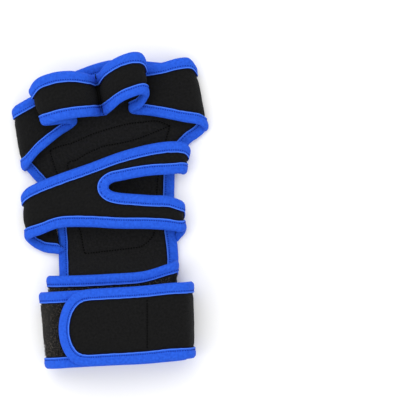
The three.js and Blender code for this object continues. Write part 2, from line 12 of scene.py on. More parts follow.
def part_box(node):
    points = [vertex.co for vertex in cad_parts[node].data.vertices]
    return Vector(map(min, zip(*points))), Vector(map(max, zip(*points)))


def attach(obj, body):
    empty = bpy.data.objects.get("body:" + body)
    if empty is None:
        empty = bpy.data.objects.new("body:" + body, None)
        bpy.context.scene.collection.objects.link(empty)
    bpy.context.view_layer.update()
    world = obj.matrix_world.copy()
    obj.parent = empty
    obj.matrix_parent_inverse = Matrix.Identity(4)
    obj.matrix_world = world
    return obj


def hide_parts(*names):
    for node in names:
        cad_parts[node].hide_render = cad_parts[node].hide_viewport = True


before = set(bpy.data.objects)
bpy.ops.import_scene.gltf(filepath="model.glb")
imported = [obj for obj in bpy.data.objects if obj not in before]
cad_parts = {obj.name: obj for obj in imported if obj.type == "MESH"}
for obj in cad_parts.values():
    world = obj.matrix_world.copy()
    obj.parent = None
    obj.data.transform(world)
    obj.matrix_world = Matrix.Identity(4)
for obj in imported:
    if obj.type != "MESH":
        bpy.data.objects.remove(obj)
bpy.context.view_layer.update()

MM = 0.001

# Driving sizes of the glove, in millimetres, as in the part's source, where WRIST_WIDTH_SHARE is 0.232.
GLOVE_WIDTH = 127.4
GLOVE_LENGTH = 206.7
NEOPRENE = 2.0
TAPE_THICKNESS = 0.65
TAPE_WIDTH = 7.1
SEAM_GAP = 0.3
TAPE_CLEARANCE = 0.4
PATCH_THICKNESS = 1.2
FINGER_LOOP_HEIGHT = 11.0
FINGER_LEAN_HEIGHT = 6.5
HAND_HOLLOW_HEIGHT = 18.0
WRIST_HOLLOW_HEIGHT = 9.5
WRIST_END_ROUND = 19.0
WRIST_WIDTH_SHARE = 0.2305

HALF_SHEET = NEOPRENE / 2
TAPE_INNER = HALF_SHEET + SEAM_GAP
TAPE_OUTER = TAPE_INNER + TAPE_THICKNESS
TAPE_REACH = SEAM_GAP + TAPE_THICKNESS
TAPE_SPAN = TAPE_WIDTH - TAPE_REACH
LAYER_PITCH = 2 * TAPE_OUTER + TAPE_CLEARANCE
PALM_LEVEL = PATCH_THICKNESS + SEAM_GAP + max(HALF_SHEET, TAPE_OUTER - PATCH_THICKNESS)
WRIST_LEVEL = TAPE_OUTER

# Sizes of the sewing.
STITCH_PITCH = 1.5
STITCH_LENGTH = 0.82
STITCH_RADIUS = 0.34
STITCH_INSET = 1.5
HAND_END_LAP = 3.0
QUILT_PITCH = 1.75
QUILT_LENGTH = 1.1
QUILT_RADIUS = 0.55
QUILT_GROOVE = 0.5
PATCH_GROOVE = 0.5
TACK_LENGTH = 1.5
TACK_RADIUS = 0.42

# The grip patch: how far its rim is rounded up, and its rough size for the rim's width.
PATCH_RIM = 0.45
PATCH_ACROSS = 70
PATCH_ALONG = 85

# Folded tape: its rounded and pointed ends, its narrower run on the palm's left side, its dimples at the
# stitches, its drift, its puckers where it turns, and how far the seam's thread sinks in.
TAPE_END_ROUND = 1.3
HAND_TAPE_POINT = 4.5
LEFT_TAPE_SPAN = 4.95
TAPE_DIMPLE = 0.08
TAPE_DRIFT = 0.09
LIP_DRIFT = 0.10
PUCKER_PITCH = 2.1
PUCKER_HEIGHT = 0.32
PUCKER_BENDS = (0.06, 0.2)
TAPE_MIDDLE_SHARE = 0.42
SEAM_SINK = 0.26

# Foam cloth: how deep a tape's seam pinches it, how far it swells inside, how uneven its face is, and the
# shape of the groove and the puff beside a quilting seam.
FOAM_PINCH = 0.30
FOAM_SWELL = 0.52
FOAM_SINK = 0.06
FOAM_WAVE = 0.12
FOAM_RIPPLE = 0.05
QUILT_GROOVE_WIDTH = 0.75
QUILT_PUFF = 0.14
QUILT_PUFF_AWAY = 3.0
QUILT_PUFF_WIDTH = 1.8

# How much lower the palm's bow is on the thumb side, as a share.
PALM_BOW_EASE = 0.24

# Steps of the meshes.
CLOTH_GRID = 1.1
PALM_GRID = 0.8
PATCH_GRID = 0.85
TAPE_GRID = 0.5

# Short loops of the wrist strap's pile: how many to a square millimetre, and their size.
PILE_DENSITY = 1.6
PILE_LOOP = 0.42
PILE_YARN = 0.085

# Where the photo's frame lies over the glove: millimetres to a pixel, and the pixel under its middle.
PHOTO_SCALE = 0.65
PHOTO_SIDE = 420
GLOVE_MIDDLE_PIXEL = (110.0, 211.0)
CAMERA_DISTANCE = 3.0

# The world's light, and the floor's size and its depth under the glove, in metres.
WORLD_LIGHT = 1.06
FLOOR_SIZE = 6
FLOOR_DROP = 0.0002

# How deep the weave's relief looks, in metres, and how little the cloth shines.
WEAVE_DEPTH = 0.0003
CLOTH_SHINE = 0.06


def rows(columns, *values):
    """Table rows as dictionaries with the named columns."""
    names = columns.split()
    return [dict(zip(names, row)) for row in values]


# The tables repeat the part's edge rows; some rows lie up to 4 mm from the part's, closer to the photo.
PALM_ROWS = rows(
    "left left_up right right_up rise tuck",
    (0.014, 0.818, 0.924, 0.95, 0.083, 0.55),
    (0.04, 0.724, 0.955, 0.856, 0.047, 0.55),
    (0.068, 0.63, 0.988, 0.752, 0.02, 0.55),
    (0.138, 0.592, 0.909, 0.721, 0.01, 0),
    (0.186, 0.552, 0.835, 0.664, 0, 0),
    (0.225, 0.49, 0.82, 0.57, 0, 0),
    (0.242, 0.425, 0.822, 0.465, 0, 0),
    (0.245, 0.365, 0.838, 0.38, 0, 0),
    (0.251, 0.29, 0.841, 0.31, 0, 0),
    (0.253, 0.18, 0.82, 0.18, 0, 0),
    (0.257, 0.06, 0.818, 0.06, 0, 0),
)
CLIMB_FROM = 0.366
CLIMB_TO = 0.296

PATCH_ROWS = rows(
    "left left_up right right_up",
    (0.200, 0.705, 0.800, 0.790),
    (0.215, 0.650, 0.790, 0.705),
    (0.262, 0.560, 0.755, 0.590),
    (0.305, 0.470, 0.745, 0.480),
    (0.350, 0.400, 0.720, 0.415),
    (0.420, 0.374, 0.640, 0.378),
)

FINGER_ROWS = rows(
    "x up low_x low_up layers rise lean aside",
    (0.014, 0.818, 0.068, 0.63, 0, -0.14, 0, 0),
    (0.014, 0.821, 0.066, 0.634, 0, 0.35, 0, 0),
    (0.028, 0.829, 0.082, 0.643, 0, 0.78, 0, 0),
    (0.092, 0.852, 0.134, 0.683, 0, 0.98, 0, 0),
    (0.173, 0.877, 0.205, 0.721, 0.2, 0.86, 0, 0),
    (0.24, 0.901, 0.26, 0.748, 0.5, 0.5, 0, 0),
    (0.286, 0.918, 0.299, 0.763, 1, 0.03, 0, 0),
    (0.316, 0.921, 0.318, 0.775, 1.7, 0, 0, 0),
    (0.286, 0.916, 0.298, 0.779, 2.3, 0.03, 0, 0),
    (0.232, 0.908, 0.252, 0.778, 2, 0.46, 0, 0),
    (0.162, 0.894, 0.203, 0.774, 1.7, 0.82, 0, 0),
    (0.104, 0.882, 0.172, 0.773, 1.6, 0.95, 0.42, 0),
    (0.134, 0.909, 0.194, 0.777, 1.6, 0.95, 1, 0),
    (0.219, 0.929, 0.247, 0.787, 1.6, 1, 1.15, 0),
    (0.306, 0.934, 0.327, 0.796, 1.6, 1, 1.05, 0),
    (0.374, 0.928, 0.404, 0.801, 1.4, 0.95, 0.6, 0),
    (0.428, 0.922, 0.459, 0.802, 1.3, 0.55, 0, -0.68),
    (0.428, 0.923, 0.459, 0.804, 1.1, 0.05, 0, -0.42),
    (0.428, 0.927, 0.459, 0.806, 1.1, 0.05, 0, 0.42),
    (0.428, 0.93, 0.459, 0.808, 1.3, 0.55, 0, 0.68),
    (0.484, 0.955, 0.514, 0.822, 1.4, 0.95, 0.6, 0),
    (0.551, 0.98, 0.561, 0.845, 1.6, 1, 1.05, 0),
    (0.622, 0.993, 0.622, 0.862, 1.6, 1, 1.15, 0),
    (0.661, 0.989, 0.664, 0.869, 1.6, 0.97, 0.95, 0),
    (0.671, 0.966, 0.688, 0.862, 1.5, 0.95, 0.4, 0),
    (0.658, 0.955, 0.678, 0.846, 1.6, 0.8, 0, 0),
    (0.64, 0.951, 0.656, 0.828, 1.9, 0.4, 0, 0),
    (0.603, 0.953, 0.612, 0.813, 1.7, 0, 0, 0),
    (0.63, 0.950, 0.634, 0.809, 1, 0.03, 0, 0),
    (0.684, 0.954, 0.69, 0.806, 0.6, 0.38, 0, 0),
    (0.765, 0.962, 0.778, 0.797, 0.2, 0.86, 0, 0),
    (0.85, 0.976, 0.882, 0.784, 0, 0.98, 0, 0),
    (0.899, 0.977, 0.95, 0.777, 0, 0.78, 0, 0),
    (0.922, 0.957, 0.985, 0.764, 0, 0.35, 0, 0),
    (0.924, 0.951, 0.987, 0.755, 0, -0.1, 0, 0),
)

HAND_ROWS = rows(
    "x up low_x low_up layers rise bow",
    (0.19, 0.535, 0.232, 0.371, 0, 0, 0),
    (0.143, 0.531, 0.163, 0.377, 0, 0.02, 0),
    (0.09, 0.537, 0.11, 0.394, 0, 0.13, 0),
    (0.062, 0.549, 0.083, 0.413, 0, 0.39, 0),
    (0.078, 0.567, 0.102, 0.422, 0, 0.64, 0),
    (0.13, 0.585, 0.146, 0.431, 0, 0.8, 0),
    (0.245, 0.613, 0.245, 0.453, 0, 0.93, 0),
    (0.398, 0.646, 0.388, 0.456, 0, 1, 0),
    (0.551, 0.681, 0.541, 0.451, 0, 1, 0),
    (0.704, 0.706, 0.689, 0.45, 0, 0.92, 0),
    (0.812, 0.715, 0.795, 0.446, 0, 0.79, 0.005),
    (0.876, 0.712, 0.858, 0.44, 0, 0.62, 0.012),
    (0.898, 0.698, 0.873, 0.443, 0, 0.36, 0.017),
    (0.886, 0.686, 0.87, 0.43, 0, 0.12, 0.014),
    (0.87, 0.684, 0.856, 0.42, 0, 0.04, 0.01),
)

# Seams sewn through the palm and its grip patch, as shares of the width and length.
QUILT_TOP = rows(
    "x up",
    (0.194, 0.692), (0.236, 0.703), (0.310, 0.716), (0.407, 0.742), (0.486, 0.758),
    (0.548, 0.769), (0.611, 0.777), (0.662, 0.780), (0.735, 0.784), (0.803, 0.770),
)
QUILT_THUMB_SIDE = rows(
    "x up",
    (0.803, 0.770), (0.797, 0.751), (0.786, 0.729), (0.760, 0.660), (0.742, 0.597),
    (0.737, 0.540), (0.735, 0.480), (0.722, 0.429), (0.704, 0.412), (0.679, 0.398),
    (0.653, 0.389), (0.597, 0.384), (0.536, 0.379), (0.474, 0.375), (0.423, 0.371),
    (0.372, 0.368),
)
QUILT_LITTLE_SIDE = rows(
    "x up",
    (0.372, 0.368), (0.360, 0.399), (0.352, 0.431), (0.316, 0.487), (0.276, 0.550),
    (0.240, 0.604), (0.214, 0.648), (0.203, 0.669), (0.194, 0.692),
)
QUILT_MIDDLE = rows(
    "x up",
    (0.300, 0.600), (0.289, 0.628), (0.285, 0.652), (0.327, 0.662), (0.384, 0.683),
    (0.429, 0.695), (0.474, 0.706), (0.548, 0.714), (0.622, 0.725), (0.679, 0.737),
    (0.735, 0.751), (0.797, 0.768),
)

# The seam across the wrist strap's closing end that holds the hook patch under it.
WRIST_SEAM_ROW = 30.9

THUMB_HOLE = rows(
    "row upper lower",
    (7.62, 0.427, 0.433),
    (7.66, 0.385, 0.475),
    (7.80, 0.357, 0.520),
    (8.05, 0.354, 0.555),
    (9, 0.350, 0.620),
    (10, 0.352, 0.634),
    (11, 0.325, 0.660),
    (12, 0.300, 0.675),
    (13, 0.255, 0.700),
    (14, 0.230, 0.720),
    (15.4, 0.215, 0.736),
)

# Where the palm's side tapes start, tucked under the folds of the finger band: shares of width and length.
LEFT_FOLD = (0.055, 0.647)
RIGHT_FOLD = (0.999, 0.770)

# How far past its first and last rows the hand strap runs on, over and under the palm's tapes.
HAND_START = -0.042
HAND_END = 1.1

WRIST_ROWS = rows(
    "x low_x up layers rise aside",
    (0.824, 0.824, 0.346, 1.95, 0, 0.3),
    (0.824, 0.824, 0.343, 2.35, 0.3, 0.34),
    (0.821, 0.824, 0.338, 2.8, 0.66, 0.12),
    (0.785, 0.787, 0.33, 3, 0.84, 0),
    (0.679, 0.679, 0.31, 3, 0.96, 0),
    (0.5, 0.5, 0.301, 3, 1.04, 0),
    (0.321, 0.33, 0.296, 3, 0.96, 0),
    (0.225, 0.25, 0.295, 2.9, 0.72, 0),
    (0.193, 0.221, 0.294, 2, 0.4, 0),
    (0.215, 0.243, 0.286, 1.06, 0.05, 0),
    (0.26, 0.28, 0.284, 1, 0, 0),
    (0.526, 0.526, 0.277, 1, 0, 0),
    (0.765, 0.769, 0.269, 1, 0, 0),
    (0.824, 0.83, 0.27, 1, 0.02, 0.3),
    (0.824, 0.832, 0.273, 1.4, 0.12, 1.35),
    (0.824, 0.832, 0.274, 2.5, 0.4, 1.68),
    (0.824, 0.832, 0.271, 3.8, 0.76, 1.15),
    (0.785, 0.79, 0.266, 4, 0.88, 0),
    (0.679, 0.679, 0.26, 4, 1, 0),
    (0.5, 0.5, 0.255, 4, 1.08, 0),
    (0.315, 0.325, 0.249, 4, 1, 0),
    (0.225, 0.254, 0.245, 3.85, 0.76, -0.55),
    (0.191, 0.223, 0.243, 2, 0.4, -1.08),
    (0.215, 0.246, 0.243, 0.2, 0.04, -0.55),
    (0.286, 0.3, 0.246, 0, 0, 0),
    (0.526, 0.526, 0.256, 0, 0, 0),
    (0.785, 0.79, 0.267, 0, 0, 0),
    (0.824, 0.832, 0.273, 0.15, 0.04, 1.5),
    (0.824, 0.833, 0.277, 2.5, 0.4, 2.62),
    (0.824, 0.832, 0.276, 4.7, 0.8, 1.78),
    (0.79, 0.796, 0.273, 5, 0.94, 0.3),
    (0.679, 0.679, 0.265, 5, 1.06, 0),
    (0.5, 0.5, 0.258, 5, 1.14, 0),
    (0.352, 0.352, 0.253, 5, 1.08, 0),
    (0.253, 0.253, 0.25, 5, 0.9, 0),
)


# Plan positions: shares of the width from the little-finger side, and of the length from the wrist.
def plan_x(share, aside=0.0):
    return (share - 0.5) * GLOVE_WIDTH + aside * LAYER_PITCH


def plan_y(share):
    return (share - 0.5) * GLOVE_LENGTH


def smooth(low, high, value):
    """0 below low, 1 above high, and a soft step between them."""
    share = np.clip((np.asarray(value, float) - low) / (high - low), 0, 1)
    return share * share * (3 - 2 * share)


def unit(vectors):
    return vectors / np.maximum(np.linalg.norm(vectors, axis=-1, keepdims=True), 1e-12)


def travel(points):
    """How far along the line through them each point lies."""
    return np.concatenate([[0], np.cumsum(np.linalg.norm(np.diff(points, axis=0), axis=1))])


def line_through(points):
    """A smooth line through one point for each table row; it runs straight on past its ends."""
    p = np.asarray(points, float)
    held = np.vstack([2 * p[0] - p[1], p, 2 * p[-1] - p[-2]])
    gaps = np.maximum(np.sqrt(np.linalg.norm(np.diff(held, axis=0), axis=1)), 1e-4)[:, None]
    before, start, end, after = held[:-3], held[1:-2], held[2:-1], held[3:]
    d0, d1, d2 = gaps[:-2], gaps[1:-1], gaps[2:]
    leave = ((start - before) / d0 - (end - before) / (d0 + d1) + (end - start) / d1) * d1
    arrive = ((end - start) / d1 - (after - start) / (d1 + d2) + (after - end) / d2) * d1
    last = len(p) - 1

    def line(t):
        t = np.asarray(t, float)
        place = np.clip(t, 0, 1) * last
        k = np.minimum(place.astype(int), last - 1)
        w = (place - k)[..., None]
        square = -3 * start[k] + 3 * end[k] - 2 * leave[k] - arrive[k]
        cube = 2 * start[k] - 2 * end[k] + leave[k] + arrive[k]
        over = ((t - np.clip(t, 0, 1)) * last)[..., None]
        past = np.where(over < 0, over * leave[0], over * arrive[-1])
        return start[k] + leave[k] * w + square * w**2 + cube * w**3 + past

    return line


class Sheet:
    """Cloth between an upper and a lower edge line: t runs along it and v, from 0 to 1, across it.
    outward is 1 where its outer face lies on the side of along x across, and -1 on the other."""

    def __init__(self, upper, lower, lowest=0.0, outward=1):
        self.upper = line_through(upper)
        self.lower = line_through(lower)
        self.lowest = lowest
        self.outward = outward
        self.last_row = len(upper) - 1

    def point(self, t, v):
        v = np.asarray(v, float)[..., None]
        place = self.upper(t) * (1 - v) + self.lower(t) * v
        place[..., 2] = np.maximum(place[..., 2], self.lowest)
        return place

    def along(self, t, v):
        step = 4e-4
        return (self.point(t + step, v) - self.point(t - step, v)) / (2 * step)

    def across(self, t, v):
        step = 1e-3
        return (self.point(t, v + step) - self.point(t, v - step)) / (2 * step)

    def normal(self, t, v):
        return self.outward * unit(np.cross(self.along(t, v), self.across(t, v)))

    def width(self, t):
        return np.linalg.norm(self.point(t, 0 * t + 1) - self.point(t, 0 * t), axis=-1)

    def row(self, row):
        return row / self.last_row

    def stations(self, spacing, start=0.0, end=1.0, v=0.5):
        """Values of t at about equal steps along the line at v."""
        fine = np.linspace(start, end, 4000)
        places = self.point(fine, np.full_like(fine, v))
        lengths = travel(places)
        count = max(2, int(round(lengths[-1] / spacing)) + 1)
        return np.interp(np.linspace(0, lengths[-1], count), lengths, fine)


class PalmSheet(Sheet):
    """The palm: rows run from its little-finger edge to its thumb edge, bowed towards the fingers."""

    def __init__(self):
        left = [(plan_x(r["left"], r["tuck"]), plan_y(r["left_up"]), 0) for r in PALM_ROWS]
        right = [(plan_x(r["right"], -r["tuck"]), plan_y(r["right_up"]), 0) for r in PALM_ROWS]
        super().__init__(left, right, outward=1)
        self.rise = line_through([(i, r["rise"] * GLOVE_LENGTH, 0) for i, r in enumerate(PALM_ROWS)])

    def point(self, t, v):
        v = np.asarray(v, float)
        share = v[..., None]
        place = self.upper(t) * (1 - share) + self.lower(t) * share
        place[..., 1] += self.rise(t)[..., 1] * 4 * v * (1 - v) * (1 - PALM_BOW_EASE * smooth(0.5, 0.85, v))
        place[..., 2] = self.level(place[..., 1])
        return place

    def level(self, y):
        """Height of the cloth's middle: flat under the hand, and climbing over the strap at the wrist."""
        climb = smooth(0, plan_y(CLIMB_FROM) - plan_y(CLIMB_TO), plan_y(CLIMB_FROM) - y)
        return PALM_LEVEL + (WRIST_LEVEL + 2 * LAYER_PITCH - PALM_LEVEL) * climb


def strip_sheet(table, level, hollow, lowest, outward):
    """A bent strip: layers of bound cloth lift a row, and rise is a share of the hollow."""

    def end(row, x, up):
        z = level + row["layers"] * LAYER_PITCH + row["rise"] * hollow
        return plan_x(row[x], row.get("aside", 0)), plan_y(row[up]), z

    upper = [end(r, "x", "up") for r in table]
    lower = [end(r, "low_x", "low_up") for r in table]
    return Sheet(upper, lower, lowest, outward)


def finger_sheet():
    share = FINGER_LEAN_HEIGHT / FINGER_LOOP_HEIGHT
    table = [{**r, "rise": r["rise"] + r["lean"] * share} for r in FINGER_ROWS]
    return strip_sheet(table, PALM_LEVEL, FINGER_LOOP_HEIGHT, 0.0, -1)


def wrist_sheet():
    table = [{**r, "low_up": r["up"] - WRIST_WIDTH_SHARE} for r in WRIST_ROWS]
    return strip_sheet(table, WRIST_LEVEL, WRIST_HOLLOW_HEIGHT, WRIST_LEVEL, 1)


class BowedSheet(Sheet):
    """The hand strap: its rows bow towards the little finger, and its first end laps over the palm's
    tape."""

    def __init__(self, plain):
        super().__init__([(0, 0, 0), (1, 0, 0)], [(0, 0, 0), (1, 0, 0)], plain.lowest, plain.outward)
        self.plain = plain
        self.last_row = plain.last_row
        self.bow = line_through([(i, r["bow"] * GLOVE_WIDTH, 0) for i, r in enumerate(HAND_ROWS)])

    def point(self, t, v):
        v = np.asarray(v, float)
        place = self.plain.point(t, v)
        place[..., 0] -= self.bow(t)[..., 1] * 4 * v * (1 - v)
        place[..., 2] += HAND_END_LAP * (1 - smooth(-0.03, 0.09, t)) * smooth(0.6, 0.8, v)
        return place


PALM = PalmSheet()
FINGERS = finger_sheet()
HAND = BowedSheet(strip_sheet(HAND_ROWS, PALM_LEVEL, HAND_HOLLOW_HEIGHT, TAPE_OUTER, -1))
WRIST = wrist_sheet()

# The part's origin is under the middle of its box; the grip patch shows how far that moved it.
PATCH_CORNER = [plan_x(min(r["left"] for r in PATCH_ROWS)), plan_y(min(r["left_up"] for r in PATCH_ROWS)), 0]
SHIFT = np.array(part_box("palm_grip_patch")[0]) / MM - PATCH_CORNER


# Meshes.
def new_piece(name, places, faces, materials, node_names, face_materials=None, cloth_uv=None):
    """A Blender object from points in millimetres, riding on the glove's one body."""
    mesh = bpy.data.meshes.new(name)
    mesh.from_pydata(((places + SHIFT) * MM).tolist(), [], faces)
    if cloth_uv is not None:
        layer = mesh.uv_layers.new(name="cloth")
        corners = np.empty(len(mesh.loops), dtype=np.int32)
        mesh.loops.foreach_get("vertex_index", corners)
        layer.data.foreach_set("uv", (cloth_uv[corners] * MM).astype(np.float32).ravel())
    for material in materials:
        mesh.materials.append(material)
    if face_materials is not None:
        mesh.polygons.foreach_set("material_index", np.asarray(face_materials, dtype=np.int32))
    mesh.polygons.foreach_set("use_smooth", np.ones(len(mesh.polygons), dtype=bool))
    mesh.validate()
    shape = bmesh.new()
    shape.from_mesh(mesh)
    bmesh.ops.recalc_face_normals(shape, faces=shape.faces)
    shape.to_mesh(mesh)
    shape.free()
    mesh.update()
    piece = bpy.data.objects.new(name, mesh)
    bpy.context.scene.collection.objects.link(piece)
    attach(piece, "root")
    if node_names:
        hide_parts(*node_names)
    return piece


def grid_body(outer, inner, keep, face_kind=None):
    """A closed body between two grids of points, only where keep is set; gives points, faces and kinds."""
    count_r, count_c = outer.shape[:2]
    index = np.arange(count_r * count_c).reshape(count_r, count_c)
    under = index + count_r * count_c
    faces = []
    kinds = []
    kind_of = face_kind if face_kind is not None else np.zeros(keep.shape, dtype=int)
    for i, j in zip(*np.nonzero(keep)):
        a, b, c, d = index[i, j], index[i, j + 1], index[i + 1, j + 1], index[i + 1, j]
        faces.append((a, b, c, d))
        kinds.append(kind_of[i, j])
        e, f, g, h = under[i, j], under[i, j + 1], under[i + 1, j + 1], under[i + 1, j]
        faces.append((h, g, f, e))
        kinds.append(0)
    padded = np.pad(keep, 1)
    sides = (
        (padded[:-2, 1:-1], (0, 0), (0, 1)),
        (padded[2:, 1:-1], (1, 1), (1, 0)),
        (padded[1:-1, :-2], (1, 0), (0, 0)),
        (padded[1:-1, 2:], (0, 1), (1, 1)),
    )
    for neighbour, one, two in sides:
        for i, j in zip(*np.nonzero(keep & ~neighbour)):
            a, b = index[i + one[0], j + one[1]], index[i + two[0], j + two[1]]
            faces.append((b, a, a + count_r * count_c, b + count_r * count_c))
            kinds.append(0)
    places = np.concatenate([outer.reshape(-1, 3), inner.reshape(-1, 3)])
    used = np.unique(np.array(faces))
    renumber = np.full(len(places), -1)
    renumber[used] = np.arange(len(used))
    return places, [tuple(renumber[list(f)].tolist()) for f in faces], kinds, used


def tube_faces(first, rings, size):
    """Faces between rings of size points each, the points being numbered on from first."""
    faces = []
    for low in range(first, first + (rings - 1) * size, size):
        for k in range(size):
            n = (k + 1) % size
            faces.append((low + k, low + n, low + size + n, low + size + k))
    return faces


def repeated(faces, size, count):
    """The faces of one small shape of size points, for count of them."""
    return [tuple(f + n * size for f in face) for n in range(count) for face in faces]


def waves(u, v, seed, longest, shortest):
    """A gentle uneven surface between about -1 and 1, the same each run."""
    count = 14
    rng = np.random.default_rng(seed)
    total = np.zeros(np.broadcast(u, v).shape)
    for _ in range(count):
        angle = rng.uniform(0, math.pi)
        length = rng.uniform(shortest, longest)
        phase = rng.uniform(0, 2 * math.pi)
        total += np.sin((u * math.cos(angle) + v * math.sin(angle)) * 2 * math.pi / length + phase)
    return total / math.sqrt(count)


class Edge:
    """A line on a sheet that tape is folded over: stops of t and v at even steps, and the way into the
    cloth. side says on which hand of the line the cloth lies, and round_share is 1 where sections stand
    square to it."""

    def __init__(self, sheet, t, v, side, round_share=None):
        self.span = TAPE_SPAN
        t = np.asarray(t, float)
        v = np.asarray(v, float)
        round_share = np.zeros_like(t) if round_share is None else np.asarray(round_share, float)
        lengths = travel(sheet.point(t, v))
        self.reach = np.linspace(0, lengths[-1], int(round(lengths[-1] / TAPE_GRID)) + 1)
        self.sheet = sheet
        self.t = np.interp(self.reach, lengths, t)
        self.v = np.interp(self.reach, lengths, v)
        share = np.interp(self.reach, lengths, round_share)[:, None]
        self.here = sheet.point(self.t, self.v)
        self.direction = unit(np.gradient(self.here, axis=0))
        self.normal = sheet.normal(self.t, self.v)
        square = side * unit(np.cross(self.normal, self.direction))
        across = sheet.across(self.t, self.v)
        straight = unit(across) * np.sign((across * square).sum(-1, keepdims=True))
        self.inwards = unit(share * square + (1 - share) * straight)
        self.turn_shares(sheet)

    def turn_shares(self, sheet):
        """How far a step into the cloth goes along t and across v."""
        along = sheet.along(self.t, self.v)
        across = sheet.across(self.t, self.v)
        aa = (along * along).sum(-1)
        ab = (along * across).sum(-1)
        bb = (across * across).sum(-1)
        da = (self.inwards * along).sum(-1)
        db = (self.inwards * across).sum(-1)
        whole = aa * bb - ab * ab
        self.per_t = (da * bb - db * ab) / whole
        self.per_v = (db * aa - da * ab) / whole

    def at(self, inset, height):
        """Points at distances into the cloth and heights over its middle, both arrays over a section."""
        inside = np.maximum(inset, 0.0)
        t = self.t[:, None] + self.per_t[:, None] * inside
        v = self.v[:, None] + self.per_v[:, None] * inside
        places = self.sheet.point(t, v) + self.sheet.normal(t, v) * height[..., None]
        outside = np.minimum(inset, 0.0)
        return places + self.inwards[:, None, :] * outside[..., None]


class PalmEdge(Edge):
    """An edge of the palm: its line and sections are laid out in plan, as the palm's height depends on
    plan alone."""

    def __init__(self, path, side, span=TAPE_SPAN):
        self.span = span
        path = np.asarray(path, float)
        lengths = travel(path[:, :2])
        self.reach = np.linspace(0, lengths[-1], int(round(lengths[-1] / TAPE_GRID)) + 1)
        x = np.interp(self.reach, lengths, path[:, 0])
        y = np.interp(self.reach, lengths, path[:, 1])
        self.here = np.stack([x, y, PALM.level(y)], -1)
        self.direction = unit(np.gradient(self.here, axis=0))
        flat = unit(np.gradient(self.here[:, :2], axis=0))
        self.inwards = np.stack([-side * flat[:, 1], side * flat[:, 0], 0 * x], -1)
        self.normal = self.up(self.here)

    def up(self, places):
        step = 0.05
        rise = (PALM.level(places[..., 1] + step) - PALM.level(places[..., 1] - step)) / (2 * step)
        return unit(np.stack([0 * rise, -rise, 1 + 0 * rise], -1))

    def at(self, inset, height):
        places = self.here[:, None, :] + self.inwards[:, None, :] * inset[..., None]
        places[..., 2] = PALM.level(places[..., 1])
        return places + self.up(places) * height[..., None]


def tape_section():
    """The tape's outline in section, from its free edge on the outer face round to that on the inner face:
    inset into the cloth, height over its middle, and how much of the seam's dimples each point takes."""
    outer = [
        # The first points stand out over the cloth past the tape's edge and carry its painted shadow line.
        (TAPE_SPAN + 0.36, TAPE_INNER - 0.25, 0),
        (TAPE_SPAN + 0.38, TAPE_INNER - 0.02, 0),
        (TAPE_SPAN + 0.10, TAPE_INNER + 0.32, 0),
        (TAPE_SPAN - 0.06, TAPE_OUTER - 0.06, 0.1),
        (TAPE_SPAN - 0.35, TAPE_OUTER + 0.08, 0.2),
        (TAPE_SPAN - 0.80, TAPE_OUTER + 0.02, 0.7),
        (TAPE_SPAN - STITCH_INSET, TAPE_OUTER - 0.16, 1),
        (TAPE_SPAN - 1.90, TAPE_OUTER + 0.02, 0.7),
        (TAPE_SPAN - 2.60, TAPE_OUTER + 0.15, 0.25),
        (TAPE_SPAN - 3.70, TAPE_OUTER + 0.20, 0),
        (TAPE_SPAN - 4.80, TAPE_OUTER + 0.10, 0),
        (TAPE_SPAN - 5.60, TAPE_OUTER - 0.12, 0),
        (-0.02, TAPE_OUTER - 0.45, 0),
        (-0.52, TAPE_OUTER - 1.00, 0),
        (-TAPE_REACH + 0.05, 0.48, 0),
    ]
    fold = [(-TAPE_REACH, 0.0, 0)]
    below = [(inset, -height, dimple) for inset, height, dimple in reversed(outer)]
    inside = [
        (TAPE_SPAN, 0.2 - TAPE_INNER, 0),
        (0.0, 0.1 - TAPE_INNER, 0),
        (-SEAM_GAP, 0.0, 0),
        (0.0, TAPE_INNER - 0.1, 0),
        (TAPE_SPAN, TAPE_INNER - 0.2, 0),
    ]
    return np.array(outer + fold + below + inside), 2 * len(outer) + 1


# The section's fourth point is the lip of the turned-under edge, and its seventh lies in the seam.
TAPE_SECTION, TAPE_OUTSIDE = tape_section()
TAPE_ROUND = travel(TAPE_SECTION[:, :2])
TAPE_GIRTH = float(TAPE_ROUND[TAPE_OUTSIDE - 1])
SEAM_GIRTH = float(TAPE_ROUND[6])
LIP_GIRTH = float(TAPE_ROUND[3])


# Materials.
def feed(tree, node, values):
    """Puts numbers, colours or other nodes' outputs on a node's inputs."""
    for socket, value in values.items():
        if isinstance(value, bpy.types.NodeSocket):
            tree.links.new(value, node.inputs[socket])
        else:
            node.inputs[socket].default_value = value


def add_node(tree, kind, values, **settings):
    node = tree.nodes.new(kind)
    for key, value in settings.items():
        setattr(node, key, value)
    feed(tree, node, values)
    return node


def math_node(tree, operation, *values):
    return add_node(tree, "ShaderNodeMath", dict(enumerate(values)), operation=operation).outputs[0]


def product(tree, one, two):
    return math_node(tree, "MULTIPLY", one, two)


def apart(tree, one, two):
    """How far two numbers lie from each other."""
    return math_node(tree, "ABSOLUTE", math_node(tree, "SUBTRACT", one, two))


def noise(tree, cloth, scale, detail, roughness):
    values = {"Vector": cloth, "Scale": scale, "Detail": detail, "Roughness": roughness}
    return add_node(tree, "ShaderNodeTexNoise", values).outputs["Fac"]


def ranged(tree, value, low, high, at_low=0.0, at_high=1.0, kind="LINEAR"):
    """From at_low to at_high as the value goes from low to high."""
    values = {"Value": value, "From Min": low, "From Max": high, "To Min": at_low, "To Max": at_high}
    return add_node(tree, "ShaderNodeMapRange", values, interpolation_type=kind).outputs["Result"]


def fading(tree, value, low, high, at_low=1.0):
    """From at_low softly down to 0 as the value goes from low to high."""
    return ranged(tree, value, low, high, at_low, 0.0, "SMOOTHSTEP")


def mixed(tree, share, one, two, blend="MIX"):
    """Colour one with a share of colour two."""
    values = {"Factor": share, "A": one, "B": two}
    return add_node(tree, "ShaderNodeMix", values, data_type="RGBA", blend_type=blend).outputs["Result"]


